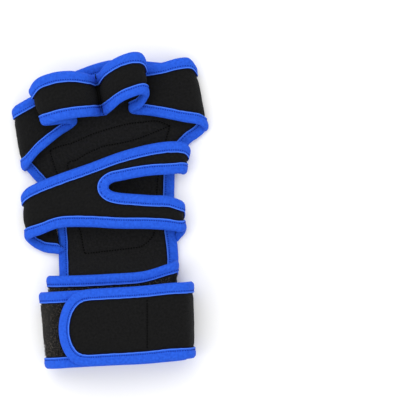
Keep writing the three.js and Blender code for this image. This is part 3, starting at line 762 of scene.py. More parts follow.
def new_group(name, inputs, outputs):
    """A shader node group, its inputs the cloth's coordinates and those named, with their usual values.
    Gives the group, the sockets of what comes in and the node that leads out."""
    group = bpy.data.node_groups.new(name, "ShaderNodeTree")
    group.interface.new_socket(name="Cloth", in_out="INPUT", socket_type="NodeSocketVector")
    for socket, value in inputs.items():
        kind = "NodeSocketColor" if isinstance(value, tuple) else "NodeSocketFloat"
        group.interface.new_socket(name=socket, in_out="INPUT", socket_type=kind).default_value = value
    for socket, kind in outputs.items():
        group.interface.new_socket(name=socket, in_out="OUTPUT", socket_type=kind)
    return group, group.nodes.new("NodeGroupInput").outputs, group.nodes.new("NodeGroupOutput")


RELIEF_OUTPUTS = {"Height": "NodeSocketFloat", "Shaded hollows": "NodeSocketFloat"}


def knit_group():
    """Fine knitted face: little columns of loops, with uneven yarn. Puts out a height and a mask for painted
    shade in its hollows.
    """
    inputs = {"Loops per metre": 1600.0, "Unevenness": 0.35}
    group, given, leave = new_group("fine_knit", inputs, RELIEF_OUTPUTS)
    split = add_node(group, "ShaderNodeSeparateXYZ", {0: given["Cloth"]}).outputs
    turns = product(group, given["Loops per metre"], 2 * math.pi)
    along = product(group, split["X"], turns)
    across = product(group, split["Y"], turns)
    wale = math_node(group, "ABSOLUTE", math_node(group, "SINE", across))
    slant = math_node(group, "ADD", product(group, along, 1.4), product(group, wale, 1.6))
    course = math_node(group, "ABSOLUTE", math_node(group, "SINE", slant))
    loops = product(group, wale, course)
    rough = product(group, noise(group, given["Cloth"], 900.0, 3.0, 0.6), given["Unevenness"])
    height = math_node(group, "ADD", loops, rough)
    feed(group, leave, {"Height": height, "Shaded hollows": math_node(group, "SUBTRACT", 1.0, loops)})
    return group


def rib_group():
    """Woven tape: fine ribs across its length with a slight slub. Puts out a height and a mask for painted
    shade between its ribs.
    """
    group, given, leave = new_group("tape_ribs", {"Ribs per metre": 1500.0, "Slub": 0.3}, RELIEF_OUTPUTS)
    split = add_node(group, "ShaderNodeSeparateXYZ", {0: given["Cloth"]}).outputs
    turns = product(group, given["Ribs per metre"], math.pi)
    ribs = math_node(group, "ABSOLUTE", math_node(group, "SINE", product(group, split["X"], turns)))
    cross = math_node(group, "SINE", product(group, split["Y"], product(group, turns, 1.7)))
    weave = math_node(group, "ADD", ribs, product(group, cross, 0.22))
    slub = product(group, noise(group, given["Cloth"], 420.0, 3.0, 0.6), given["Slub"])
    height = math_node(group, "ADD", weave, slub)
    feed(group, leave, {"Height": height, "Shaded hollows": math_node(group, "SUBTRACT", 1.0, ribs)})
    return group


def dye_and_shade_group():
    """Uneven dye and handling with painted shade: mixes two colours by large soft patches, darkens the
    weave's hollows with painted shade, adds lint specks.
    """
    inputs = {
        "Light": (0.05, 0.05, 0.05, 1),
        "Dark": (0.02, 0.02, 0.02, 1),
        "Shaded hollows": 0.0,
        "Painted shade depth": 0.4,
        "Patches per metre": 60.0,
        "Lint": 0.0,
        "Rough low": 0.7,
        "Rough high": 0.95,
    }
    outputs = {"Colour": "NodeSocketColor", "Roughness": "NodeSocketFloat"}
    group, given, leave = new_group("dyed_and_shaded_cloth", inputs, outputs)
    patches = noise(group, given["Cloth"], given["Patches per metre"], 5.0, 0.62)
    colour = mixed(group, ranged(group, patches, 0.3, 0.7), given["Dark"], given["Light"])
    # Painted shade: the weave's hollows are darkened by multiplying the colour towards grey, as deep as the
    # depth given.
    depth = product(group, given["Shaded hollows"], given["Painted shade depth"])
    colour = mixed(group, depth, colour, (0.25, 0.25, 0.25, 1), "MULTIPLY")
    specks = ranged(group, noise(group, given["Cloth"], 1300.0, 2.0, 0.7), 0.62, 0.78)
    colour = mixed(group, product(group, specks, given["Lint"]), colour, (0.22, 0.21, 0.2, 1))
    rough = ranged(group, patches, 0.0, 1.0, given["Rough low"], given["Rough high"])
    feed(group, leave, {"Colour": colour, "Roughness": rough})
    return group


KNIT = knit_group()
RIBS = rib_group()
DYE_AND_SHADE = dye_and_shade_group()


def cloth_material(name, relief, relief_values, dye_and_shade_values, bump, sheen, painted_light=None):
    """A matt cloth: relief from one of the weave groups, colour with painted shade in the weave's hollows,
    and roughness from the dye group.
    sheen is its weight, roughness and tint; the last argument, where given, adds a painted highlight and
    painted shade along the tape's edge and seam to the colour."""
    material = bpy.data.materials.new(name)
    material.use_nodes = True
    tree = material.node_tree
    cloth = add_node(tree, "ShaderNodeUVMap", {}, uv_map="cloth").outputs["UV"]
    weave = add_node(tree, "ShaderNodeGroup", {}, node_tree=relief)
    dye_and_shade = add_node(tree, "ShaderNodeGroup", {}, node_tree=DYE_AND_SHADE)
    feed(tree, weave, {"Cloth": cloth, **relief_values})
    feed(tree, dye_and_shade, {"Cloth": cloth, "Shaded hollows": weave.outputs["Shaded hollows"], **dye_and_shade_values})
    colour = dye_and_shade.outputs["Colour"] if painted_light is None else painted_light(tree, cloth, dye_and_shade.outputs["Colour"])
    relief_height = {"Strength": bump, "Distance": WEAVE_DEPTH, "Height": weave.outputs["Height"]}
    face = {
        "Base Color": colour,
        "Roughness": dye_and_shade.outputs["Roughness"],
        "Normal": add_node(tree, "ShaderNodeBump", relief_height).outputs["Normal"],
        "Sheen Weight": sheen[0],
        "Sheen Roughness": sheen[1],
        "Sheen Tint": sheen[2],
        "Specular IOR Level": CLOTH_SHINE,
    }
    feed(tree, tree.nodes["Principled BSDF"], face)
    return material


def tape_highlight_and_shade(tree, cloth, colour):
    """A painted highlight as a light line where the tape's edge is turned under, a painted shadow line along
    its free edge, and painted shade round each stitch of its seam.
    """
    split = add_node(tree, "ShaderNodeSeparateXYZ", {0: cloth}).outputs
    from_fold = apart(tree, split["Y"], TAPE_GIRTH * MM / 2)
    from_edge = math_node(tree, "SUBTRACT", TAPE_GIRTH * MM / 2, from_fold)
    # Painted highlight: a light blue line along the lip of the turned-under edge.
    lip = fading(tree, apart(tree, from_edge, (LIP_GIRTH + 0.1) * MM), 0.0001, 0.0004, 0.8)
    colour = mixed(tree, lip, colour, (0.105, 0.28, 1.0, 1))
    # Painted shadow: a navy line along the tape's free edge, where it stands out over the cloth.
    rim = fading(tree, from_edge, (LIP_GIRTH - 0.35) * MM, (LIP_GIRTH - 0.15) * MM)
    colour = mixed(tree, rim, colour, (0.001, 0.006, 0.14, 1))
    # Painted shade: darker blue beats round each stitch of the seam, one to each stitch pitch.
    seam = fading(tree, apart(tree, from_edge, SEAM_GIRTH * MM), 0.0002, 0.0006)
    turns = product(tree, split["X"], 2 * math.pi / (STITCH_PITCH * MM))
    stitch_shade_beat = product(tree, math_node(tree, "COSINE", turns), -0.38)
    dark = product(tree, math_node(tree, "ADD", stitch_shade_beat, 0.32), seam)
    return mixed(tree, dark, colour, (0.006, 0.03, 0.3, 1))


def black_neoprene(name, light, dark):
    """Black knit laminated on foam rubber, in the light and dark colours given; the palm's lighter copy is
    painted light that offsets the shade cast on it by the loops above.
    """
    dye_and_shade = {
        "Light": (light, light, light * 1.02, 1),
        "Dark": (dark, dark, dark * 1.02, 1),
        "Painted shade depth": 0.3,
        "Patches per metre": 640.0,
        "Lint": 0.02,
    }
    knit = {"Loops per metre": 2700.0, "Unevenness": 0.8}
    return cloth_material(name, KNIT, knit, dye_and_shade, 0.5, (0.02, 0.5, (0.8, 0.82, 0.9, 1)))


def yarn(name, dye_and_shade, sheen, tint):
    """Sewing thread or pile yarn."""
    ribs = {"Ribs per metre": 5000.0, "Slub": 0.2}
    return cloth_material(name, RIBS, ribs, dye_and_shade, 0.3, (sheen, 0.4, tint))


NEOPRENE_BLACK = black_neoprene("black_knit_neoprene", 0.0128, 0.0050)
# Painted light: the palm's copy is lighter to offset the shade cast on the palm by the loops above it.
NEOPRENE_PALM_PAINTED_LIGHTER = black_neoprene("black_palm_neoprene_painted_lighter", 0.0210, 0.0085)
LOOP_PILE = cloth_material(
    "fuzzy_loop_pile",
    KNIT,
    {"Loops per metre": 700.0, "Unevenness": 2.2},
    {
        "Light": (0.014, 0.0135, 0.013, 1),
        "Dark": (0.005, 0.005, 0.005, 1),
        "Painted shade depth": 0.6,
        "Patches per metre": 700.0,
        "Lint": 0.3,
    },
    1.0,
    (0.04, 0.7, (0.9, 0.88, 0.85, 1)),
)
GRIP_BLACK = cloth_material(
    "black_grip_cloth",
    RIBS,
    {"Ribs per metre": 900.0, "Slub": 0.5},
    {"Light": (0.016, 0.016, 0.016, 1), "Dark": (0.009, 0.009, 0.009, 1), "Painted shade depth": 0.5, "Lint": 0.01},
    0.6,
    (0.03, 0.5, (0.9, 0.9, 0.9, 1)),
)
# The tape's colour carries a painted highlight on its turned-under edge, a painted shadow line at its free
# edge and painted shade round its stitches.
TAPE_BLUE = cloth_material(
    "blue_fold_over_tape",
    RIBS,
    {"Ribs per metre": 1500.0, "Slub": 0.35},
    {
        "Light": (0.026, 0.130, 0.78, 1),
        "Dark": (0.014, 0.078, 0.57, 1),
        "Painted shade depth": 0.25,
        "Patches per metre": 560.0,
        "Rough low": 0.6,
        "Rough high": 0.85,
    },
    0.35,
    (0.03, 0.4, (0.5, 0.65, 1, 1)),
    tape_highlight_and_shade,
)
THREAD_BLUE = yarn(
    "blue_sewing_thread",
    {"Light": (0.004, 0.024, 0.30, 1), "Dark": (0.003, 0.016, 0.22, 1), "Rough low": 0.5, "Rough high": 0.7},
    0.02,
    (0.5, 0.6, 1, 1),
)
THREAD_BLACK = yarn(
    "black_sewing_thread",
    {
        "Light": (0.002, 0.002, 0.002, 1),
        "Dark": (0.001, 0.001, 0.001, 1),
        "Rough low": 0.7,
        "Rough high": 0.9,
    },
    0.0,
    (0.8, 0.8, 0.9, 1),
)
PILE_YARN_GREY = yarn(
    "grey_pile_yarn",
    {"Light": (0.22, 0.195, 0.17, 1), "Dark": (0.012, 0.011, 0.01, 1), "Patches per metre": 900.0},
    0.0,
    (0.9, 0.88, 0.85, 1),
)


# Cloth panels.
def nearest(stops, places):
    """For each point, which of the stops is nearest and how far away it is."""
    tree = KDTree(len(stops))
    for i, stop in enumerate(stops):
        tree.insert(Vector(stop), i)
    tree.balance()
    found = [tree.find(Vector(p)) for p in places.reshape(-1, 3)]
    index = np.array([f[1] for f in found]).reshape(places.shape[:-1])
    return index, np.array([f[2] for f in found]).reshape(places.shape[:-1])


def distances_to(edges, places):
    """Distance of each point from the nearest bound edge, as if every tape were of the usual width."""
    index, distance = nearest(np.concatenate([edge.here for edge in edges]), places)
    narrower = np.concatenate([np.full(len(edge.here), TAPE_SPAN - edge.span) for edge in edges])
    return distance + narrower[index]


def sewn_through(lines):
    """A change of outer face height for seams sewn through cloth: grooves, with foam puffed up beside
    them."""
    stops = np.concatenate(lines)

    def change(middle, outer_height):
        distance = nearest(stops, middle)[1]
        groove = QUILT_GROOVE * np.exp(-((distance / QUILT_GROOVE_WIDTH) ** 2))
        puff = QUILT_PUFF * np.exp(-(((distance - QUILT_PUFF_AWAY) / QUILT_PUFF_WIDTH) ** 2))
        return outer_height - groove + puff

    return change


def foam_relief(away, u, v, seed):
    """Face height of foam cloth: pinched by the tape's seam, swelling beside it, and gently uneven."""
    seam = -FOAM_PINCH * np.exp(-(((away - TAPE_SPAN - 0.2) / 0.8) ** 2))
    swell = FOAM_SWELL * smooth(TAPE_SPAN, TAPE_SPAN + 4.5, away) - FOAM_SINK
    uneven = FOAM_WAVE * waves(u, v, seed, 34, 13) + FOAM_RIPPLE * waves(u, v, seed + 1, 9, 5)
    return seam + swell + uneven * smooth(TAPE_SPAN - 1, TAPE_SPAN + 5, away)


def cloth_coordinates(sheet, t, count):
    """Lengths along and across the cloth, for its weave: one value for each grid point."""
    lengths = travel(sheet.point(t, np.full_like(t, 0.5)))
    shares = np.linspace(0, 1, count)
    u = np.repeat(lengths[:, None], count, axis=1)
    v = shares[None, :] * sheet.width(t)[:, None]
    return u, v, lengths[-1]


class Panel:
    """One foam panel: its piece, the grid of its outer face, and the size of its flat cloth."""

    def __init__(self, piece, outer, width, length, area):
        self.piece = piece
        self.outer = outer
        self.flat = (width * MM, length * MM)
        self.area = min(area, width * length) * MM**2


def cloth_panel(
    name,
    sheet,
    edges,
    node,
    seed,
    keep_at=None,
    kind_at=None,
    materials=(NEOPRENE_BLACK,),
    extra=None,
    grid=CLOTH_GRID,
    start=0.0,
    end=1.0,
):
    """One foam panel with two faces. keep_at says where there is cloth, kind_at which material is outside."""
    t = sheet.stations(grid, start, end)
    count = int(round(float(np.max(sheet.width(t))) / grid)) + 1
    shares = np.linspace(0, 1, count)
    tt, vv = np.meshgrid(t, shares, indexing="ij")
    middle = sheet.point(tt, vv)
    normal = sheet.normal(tt, vv)
    u, v, length = cloth_coordinates(sheet, t, count)
    away = distances_to(edges, middle)
    outer_height = HALF_SHEET + foam_relief(away, u, v, seed)
    inner_height = HALF_SHEET + foam_relief(away, u, v, seed + 7)
    if extra is not None:
        outer_height = extra(middle, outer_height)
    keep = np.ones((len(t) - 1, count - 1), dtype=bool)
    if keep_at is not None:
        corners = keep_at(tt, vv)
        keep = corners[:-1, :-1] & corners[1:, :-1] & corners[:-1, 1:] & corners[1:, 1:]
    kinds = None
    if kind_at is not None:
        mid_t = (tt[:-1, :-1] + tt[1:, 1:]) / 2
        mid_away = (away[:-1, :-1] + away[1:, 1:]) / 2
        kinds = kind_at(mid_t, mid_away)
    outer = middle + normal * outer_height[..., None]
    inner = middle - normal * inner_height[..., None]
    places, faces, face_kinds, used = grid_body(outer, inner, keep, kinds)
    uv = np.concatenate([np.stack([u, v], -1).reshape(-1, 2)] * 2)
    piece = new_piece(name, places[used], faces, materials, [node], face_kinds, uv[used])
    one = middle[1:, 1:] - middle[:-1, :-1]
    two = middle[1:, :-1] - middle[:-1, 1:]
    area = float((np.linalg.norm(np.cross(one, two), axis=-1) / 2 * keep).sum())
    return Panel(piece, outer, float(np.max(sheet.width(t))), float(length), area)


# Folded tape and its sewing.
def pucker_amount(edge):
    """How tightly the edge turns in the plane of the cloth, for the tape's puckers."""
    turn = np.gradient(edge.direction, axis=0) / np.gradient(edge.reach)[:, None]
    bend = np.abs((turn * edge.inwards).sum(-1))
    kernel = np.hanning(13)
    bend = np.convolve(bend, kernel / kernel.sum(), mode="same")
    return smooth(*PUCKER_BENDS, bend)


def wander_along(edge, rng, spacing):
    """A slow random drift along the edge, about between -1 and 1."""
    stops = np.arange(0, edge.reach[-1] + 2 * spacing, spacing)
    return np.interp(edge.reach, stops, rng.normal(0, 0.6, len(stops)))


def tape_body(name, edge, node, seed, pointed=0.0):
    """Fold-over tape along an edge: a soft fold, a sunk seam dimpled by its stitches, puckers, and a
    turned-under free edge. pointed is how far from its start the tape narrows to a tucked-in point."""
    rng = np.random.default_rng(seed)
    inset = np.repeat(TAPE_SECTION[None, :, 0], len(edge.reach), axis=0)
    height = np.repeat(TAPE_SECTION[None, :, 1], len(edge.reach), axis=0)
    inset = np.where(inset > 0, inset * edge.span / TAPE_SPAN, inset)
    dimple = TAPE_SECTION[None, :, 2]
    out = np.sign(TAPE_SECTION[None, :, 1]) * (np.arange(len(TAPE_SECTION)) < TAPE_OUTSIDE)
    phase = -np.cos(2 * math.pi * edge.reach / STITCH_PITCH)[:, None]
    height = height - out * dimple * (TAPE_DIMPLE + TAPE_DIMPLE * phase)
    crown = np.clip((TAPE_SPAN - 1.5 - TAPE_SECTION[None, :, 0]) / 2.0, 0, 1)
    folds = np.sin(2 * math.pi * edge.reach / PUCKER_PITCH + wander_along(edge, rng, 5.0))[:, None]
    swell = TAPE_DRIFT * wander_along(edge, rng, 3.0)[:, None]
    swell = swell + PUCKER_HEIGHT * pucker_amount(edge)[:, None] * folds
    height = height + out * crown * swell
    free = np.abs(TAPE_SECTION[None, :, 0] - TAPE_SPAN) < 0.5
    inset = inset + free * LIP_DRIFT * wander_along(edge, rng, 2.4)[:, None]
    from_end = np.minimum(edge.reach, edge.reach[-1] - edge.reach)
    share = np.sqrt(1 - (1 - np.clip(from_end / TAPE_END_ROUND, 0.12, 1)) ** 2)
    if pointed:
        share = share * (0.25 + 0.75 * smooth(0, pointed, edge.reach))
    middle = edge.span * TAPE_MIDDLE_SHARE
    inset = middle + (inset - middle) * share[:, None]
    height = height * (0.4 + 0.6 * share[:, None])
    rings = edge.at(inset, height)
    rings[..., 2] = np.maximum(rings[..., 2], 0.0)
    count, size = rings.shape[:2]
    faces = tube_faces(0, count, size)
    faces.append(tuple(range(size)))
    faces.append(tuple(range((count - 1) * size, count * size)))
    uv = np.stack(np.broadcast_arrays(edge.reach[:, None], TAPE_ROUND[None, :]), -1).reshape(-1, 2)
    return new_piece(name, rings.reshape(-1, 3), faces, [TAPE_BLUE], [node], None, uv)


def stitch_shape():
    """One stitch: a short rounded thread along X, as points and faces."""
    sides = 6
    points = [(-0.5, 0, 0)]
    for x, size in ((-0.36, 0.8), (0, 1.05), (0.36, 0.8)):
        for k in range(sides):
            angle = 2 * math.pi * k / sides
            points.append((x, size * math.cos(angle), size * math.sin(angle)))
    points.append((0.5, 0, 0))
    faces = [(0, 1 + (k + 1) % sides, 1 + k) for k in range(sides)]
    faces += tube_faces(1, 3, sides)
    low = 1 + 2 * sides
    faces += [(low + k, low + (k + 1) % sides, len(points) - 1) for k in range(sides)]
    return np.array(points), faces


def stitch_body(name, groups, material, length=STITCH_LENGTH, radius=STITCH_RADIUS):
    """Many stitches in one piece. groups are (places, directions, normals) arrays."""
    shape, shape_faces = stitch_shape()
    places = np.concatenate([g[0] for g in groups])
    forward = unit(np.concatenate([g[1] for g in groups]))
    up = unit(np.concatenate([g[2] for g in groups]))
    side = unit(np.cross(up, forward))
    up = np.cross(forward, side)
    points = (
        places[:, None, :]
        + forward[:, None, :] * shape[None, :, 0:1] * length
        + side[:, None, :] * shape[None, :, 1:2] * radius
        + up[:, None, :] * shape[None, :, 2:3] * radius
    )
    faces = repeated(shape_faces, len(shape), len(places))
    uv = np.repeat(shape[None, :, :2], len(places), axis=0).reshape(-1, 2) * np.array([[length, radius]])
    return new_piece(name, points.reshape(-1, 3), faces, [material], [], None, uv)


def seam_stitches(edge):
    """Stitches along a tape's seam, on its outer and inner face."""
    stops = np.arange(STITCH_PITCH / 2, edge.reach[-1], STITCH_PITCH)
    pick = np.clip(np.searchsorted(edge.reach, stops), 0, len(edge.reach) - 1)
    groups = []
    for face in (1, -1):
        inset = np.full((len(edge.reach), 1), edge.span * (1 - STITCH_INSET / TAPE_SPAN))
        height = np.full((len(edge.reach), 1), face * (TAPE_OUTER - SEAM_SINK))
        line = edge.at(inset, height)[:, 0]
        direction = np.gradient(line, axis=0)
        groups.append((line[pick], direction[pick], face * edge.normal[pick]))
    return groups


# The bound edges.
def straight_edge(sheet, v, side, start=0.0, end=1.0):
    t = sheet.stations(TAPE_GRID, start, end, v)
    return Edge(sheet, t, np.full_like(t, v), side)


def palm_side_edge(v, side, fold, start, end, span=TAPE_SPAN):
    """From under the fold of the finger band down the palm's side, between two rows."""
    t = PALM.stations(4.0, PALM.row(start), PALM.row(end), v)
    stops = PALM.point(t, np.full_like(t, v))
    lead = np.array([[plan_x(fold[0]), plan_y(fold[1]), 0.0]])
    return PalmEdge(line_through(np.vstack([lead, stops]))(np.linspace(0, 1, 2000)), side, span)


def palm_top_edge():
    v = np.linspace(0.025, 0.975, 600)
    return PalmEdge(PALM.point(np.zeros_like(v), v), -1)


# How many rows the hand strap's whole width counts for, where the hole's outline is smoothed.
HOLE_STRETCH = 6


def hole_share(edge, t):
    stops = HAND.row(np.array([r["row"] for r in THUMB_HOLE]))
    return np.interp(t, stops, [r[edge] for r in THUMB_HOLE])


def thumb_hole_edge():
    """Round the thumb hole, from the upper branch's end to the lower branch's, eased at its inner end."""
    upper = [(r["row"], r["upper"] * HOLE_STRETCH, 0) for r in THUMB_HOLE[1:]]
    lower = [(r["row"], r["lower"] * HOLE_STRETCH, 0) for r in THUMB_HOLE[1:]]
    tip = THUMB_HOLE[0]
    tip = (tip["row"], (tip["upper"] + tip["lower"]) / 2 * HOLE_STRETCH, 0)
    line = line_through(upper[::-1] + [tip] + lower)(np.linspace(0, 1, 1500))
    t = HAND.row(line[:, 0])
    return Edge(HAND, t, line[:, 1] / HOLE_STRETCH, -1, 1 - smooth(HAND.row(8.4), HAND.row(9.6), t))


def wrist_end_start():
    middle = 1 - 0.5 / WRIST.last_row
    slope = np.linalg.norm(WRIST.along(np.array(middle), np.array(0.5)))
    return 1 - WRIST_END_ROUND / slope


WRIST_END = wrist_end_start()


def wrist_inset(t):
    along = np.clip((t - WRIST_END) / (1 - WRIST_END), 0, 1)
    return 0.5 * (1 - np.sqrt(np.maximum(0, 1 - along**2.4)))


def wrist_edge():
    """Along the wrist strap's upper edge, round its closing end and back along the lower edge."""
    straight = WRIST.stations(TAPE_GRID, 0, WRIST_END, 0.0)
    bend = WRIST_END + (1 - WRIST_END) * np.sin(np.linspace(0, math.pi / 2, 300))[1:]
    t = np.concatenate([straight, bend])
    inset = wrist_inset(t)
    turn = smooth(WRIST_END - 0.002, WRIST_END + 0.004, t)
    return Edge(
        WRIST,
        np.concatenate([t, t[::-1][1:]]),
        np.concatenate([inset, 1 - inset[::-1][1:]]),
        1,
        np.concatenate([turn, turn[::-1][1:]]),
    )


EDGES = {
    "binding_palm_left": palm_side_edge(0, 1, LEFT_FOLD, 2.15, 10, LEFT_TAPE_SPAN),
    "binding_palm_right": palm_side_edge(1, -1, RIGHT_FOLD, 2.15, 8.1),
    "binding_palm_top": palm_top_edge(),
    "binding_fingers_upper": straight_edge(FINGERS, 0, -1),
    "binding_fingers_lower": straight_edge(FINGERS, 1, 1),
    "binding_hand_upper": straight_edge(HAND, 0, -1, HAND_START, HAND_END),
    "binding_hand_lower": straight_edge(HAND, 1, 1, HAND_START, HAND_END),
    "binding_thumb_hole": thumb_hole_edge(),
    "binding_wrist": wrist_edge(),
}

TAPES = {}
for number, (node, edge) in enumerate(EDGES.items()):
    pointed = HAND_TAPE_POINT if node == "binding_hand_lower" else 0.0
    TAPES[node] = tape_body(node.replace("binding", "tape"), edge, node, 40 + number, pointed)
    stitch_body(node.replace("binding", "stitches"), seam_stitches(edge), THREAD_BLUE)


def hole_clear(t, v):
    between = (v > hole_share("upper", t)) & (v < hole_share("lower", t))
    return ~(between & (t > HAND.row(THUMB_HOLE[0]["row"])))


def wrist_clear(t, v):
    return (v >= wrist_inset(t) - 1e-9) & (v <= 1 - wrist_inset(t) + 1e-9)


def wrist_kind(t, away):
    """The loop pile covers the outer face of the strap's first two crossings, inside its tapes."""
    pile = (t > WRIST.row(2.4)) & (t < WRIST.row(25)) & (away > TAPE_SPAN - 0.5)
    return pile.astype(int)


def plan_line(table, x="x", up="up"):
    """A smooth line on the floor's plane through two of a table's columns."""
    return line_through([(plan_x(r[x]), plan_y(r[up]), 0) for r in table])


def quilt_lines():
    """The seams sewn through the palm, as points on the middle of its cloth at even steps."""
    lines = []
    for table in (QUILT_TOP, QUILT_THUMB_SIDE, QUILT_LITTLE_SIDE, QUILT_MIDDLE):
        fine = plan_line(table)(np.linspace(0, 1, 1200))
        fine[:, 2] = PALM.level(fine[:, 1])
        lines.append(even_steps(fine, QUILT_PITCH / 3))
    return lines


def even_steps(line, spacing):
    """The points of a line at even steps along it."""
    lengths = travel(line)
    stops = np.linspace(0, lengths[-1], max(4, int(round(lengths[-1] / spacing)) + 1))
    return np.stack([np.interp(stops, lengths, line[:, k]) for k in range(3)], -1)


def stitches_on(face, lines, normal_at):
    """Stitches sunk into a face along lines: each third point carries one, on the face's nearest point."""
    groups = []
    for line in lines:
        index = nearest(face.reshape(-1, 3), line)[0]
        up = normal_at(line)
        height = ((face.reshape(-1, 3)[index] - line) * up).sum(-1, keepdims=True)
        height = np.convolve(np.pad(height[:, 0], 2, mode="edge"), np.full(5, 0.2), mode="valid")[:, None]
        groups.append(((line + up * (height + 0.02))[1::3], np.gradient(line, axis=0)[1::3], up[1::3]))
    return groups


def wrist_seam():
    """The seam across the wrist strap near its closing end."""
    v = np.linspace(0.175, 0.825, 300)
    t = np.full_like(v, WRIST.row(WRIST_SEAM_ROW))
    return even_steps(WRIST.point(t, v), QUILT_PITCH / 3)


def quilting(name, groups):
    return stitch_body(name, groups, THREAD_BLACK, QUILT_LENGTH, QUILT_RADIUS)


def upwards(line):
    return np.broadcast_to(np.array([0.0, 0.0, 1.0]), line.shape)


finger_edges = [EDGES["binding_fingers_upper"], EDGES["binding_fingers_lower"]]
hand_edges = [EDGES["binding_hand_upper"], EDGES["binding_hand_lower"], EDGES["binding_thumb_hole"]]
palm_edges = [EDGES["binding_palm_left"], EDGES["binding_palm_right"], EDGES["binding_palm_top"]]
QUILT = quilt_lines()
WRIST_SEAM = wrist_seam()

palm = cloth_panel(
    "cloth_palm",
    PALM,
    palm_edges,
    "palm_panel",
    3,
    materials=(NEOPRENE_PALM_PAINTED_LIGHTER,),
    extra=sewn_through(QUILT),
    grid=PALM_GRID,
)
fingers = cloth_panel("cloth_fingers", FINGERS, finger_edges, "finger_band", 11)
hand = cloth_panel(
    "cloth_hand", HAND, hand_edges, "hand_strap", 21, keep_at=hole_clear, start=0.4 * HAND_START, end=HAND_END
)
wrist = cloth_panel(
    "cloth_wrist",
    WRIST,
    [EDGES["binding_wrist"]],
    "wrist_strap",
    31,
    keep_at=wrist_clear,
    kind_at=wrist_kind,
    materials=(NEOPRENE_BLACK, LOOP_PILE),
    extra=sewn_through([WRIST_SEAM]),
)
palm_seams = quilting("stitches_palm_quilting", stitches_on(palm.outer, QUILT, upwards))
wrist_seams = quilting("stitches_wrist_closing", stitches_on(wrist.outer, [WRIST_SEAM], upwards))


def grip_patch():
    """The grip patch under the palm: flat where it rests, its rim rounded, and quilted to the palm."""
    left = plan_line(PATCH_ROWS, "left", "left_up")
    right = plan_line(PATCH_ROWS, "right", "right_up")
    start = left(np.array(0.0))
    size = np.linalg.norm(right(np.array(0.0)) - start), abs(left(np.array(1.0))[1] - start[1])
    t = np.linspace(0, 1, int(size[1] / PATCH_GRID))
    shares = np.linspace(0, 1, int(size[0] / PATCH_GRID))
    across = shares[None, :, None]
    middle = left(t)[:, None, :] * (1 - across) + right(t)[:, None, :] * across
    from_side = np.minimum(shares, 1 - shares)[None, :] * PATCH_ACROSS
    rim = np.minimum(from_side, np.minimum(t, 1 - t)[:, None] * PATCH_ALONG)
    flat_lines = [line * np.array([1, 1, 0]) for line in QUILT]
    seam = nearest(np.concatenate(flat_lines), middle)[1]
    lift = PATCH_RIM * (1 - smooth(0, 1.5, rim))
    groove = PATCH_GROOVE * np.exp(-((seam / 0.9) ** 2))
    under = middle + np.stack([0 * lift, 0 * lift, np.maximum(lift, groove)], -1)
    top = middle + np.array([0, 0, PATCH_THICKNESS]) - np.stack([0 * lift, 0 * lift, 0.4 * lift], -1)
    keep = np.ones((len(t) - 1, len(shares) - 1), dtype=bool)
    places, faces, kinds, used = grid_body(top, under, keep)
    uv = np.concatenate([middle[..., :2].reshape(-1, 2)] * 2)[used]
    piece = new_piece("grip_patch", places[used], faces, [GRIP_BLACK], ["palm_grip_patch"], kinds, uv)
    height = np.array([0, 0, QUILT_RADIUS + 0.03])
    groups = []
    for line in flat_lines:
        line = line[nearest(middle.reshape(-1, 3), line)[1] < PATCH_GRID]
        if len(line) > 4:
            groups.append(((line + height)[1::3], np.gradient(line, axis=0)[1::3], -upwards(line)[1::3]))
    quilting("stitches_patch_quilting", groups)
    return piece


patch = grip_patch()


# Where the band of loops is tacked together, the thread bites into the tapes: lines in shares of the
# width and length.
TACK_LINES = rows(
    "piece x0 up0 x1 up1",
    ("binding_fingers_upper", 0.4235, 0.9447, 0.4286, 0.9167),
    ("binding_fingers_upper", 0.403, 0.9334, 0.427, 0.9387),
    ("binding_fingers_lower", 0.4592, 0.8302, 0.4694, 0.8003),
)


def tack_stitches():
    """Black thread over the tapes where neighbouring loops are sewn together."""
    groups = []
    for tack in TACK_LINES:
        mesh = TAPES[tack["piece"]].data
        faces = [tuple(f.vertices) for f in mesh.polygons]
        tree = BVHTree.FromPolygons([v.co for v in mesh.vertices], faces)
        start = np.array([plan_x(tack["x0"]), plan_y(tack["up0"]), 0])
        end = np.array([plan_x(tack["x1"]), plan_y(tack["up1"]), 0])
        count = max(2, int(round(np.linalg.norm(end - start) / (0.62 * TACK_LENGTH))))
        line = start + (end - start) * np.linspace(0, 1, count)[:, None]
        for spot in line:
            above = Vector((spot + SHIFT) * MM) + Vector((0, 0, 0.1))
            hit = tree.ray_cast(above, Vector((0, 0, -1)))[0]
            if hit is not None:
                spot[2] = hit.z / MM - SHIFT[2]
        line = line[line[:, 2] > 0]
        if len(line) > 1:
            groups.append((line, np.gradient(line, axis=0), upwards(line)))
    return stitch_body("stitches_loop_tacks", groups, THREAD_BLACK, TACK_LENGTH, TACK_RADIUS)


tacks = tack_stitches()


# The loop pile that the wrist strap closes on.
def pile_spots(rng, rows_from, rows_to, low, high, density=PILE_DENSITY):
    """Even random spots on the wrist strap between two rows and two shares of its width."""
    t0, t1 = WRIST.row(rows_from), WRIST.row(rows_to)
    fine = np.linspace(t0, t1, 300)
    lengths = travel(WRIST.point(fine, np.full_like(fine, 0.5)))
    width = float(WRIST.width(np.array(t0)))
    count = int(lengths[-1] * width * (high - low) * density)
    t = np.interp(rng.uniform(0, lengths[-1], count), lengths, fine)
    return t, rng.uniform(low, high, count)


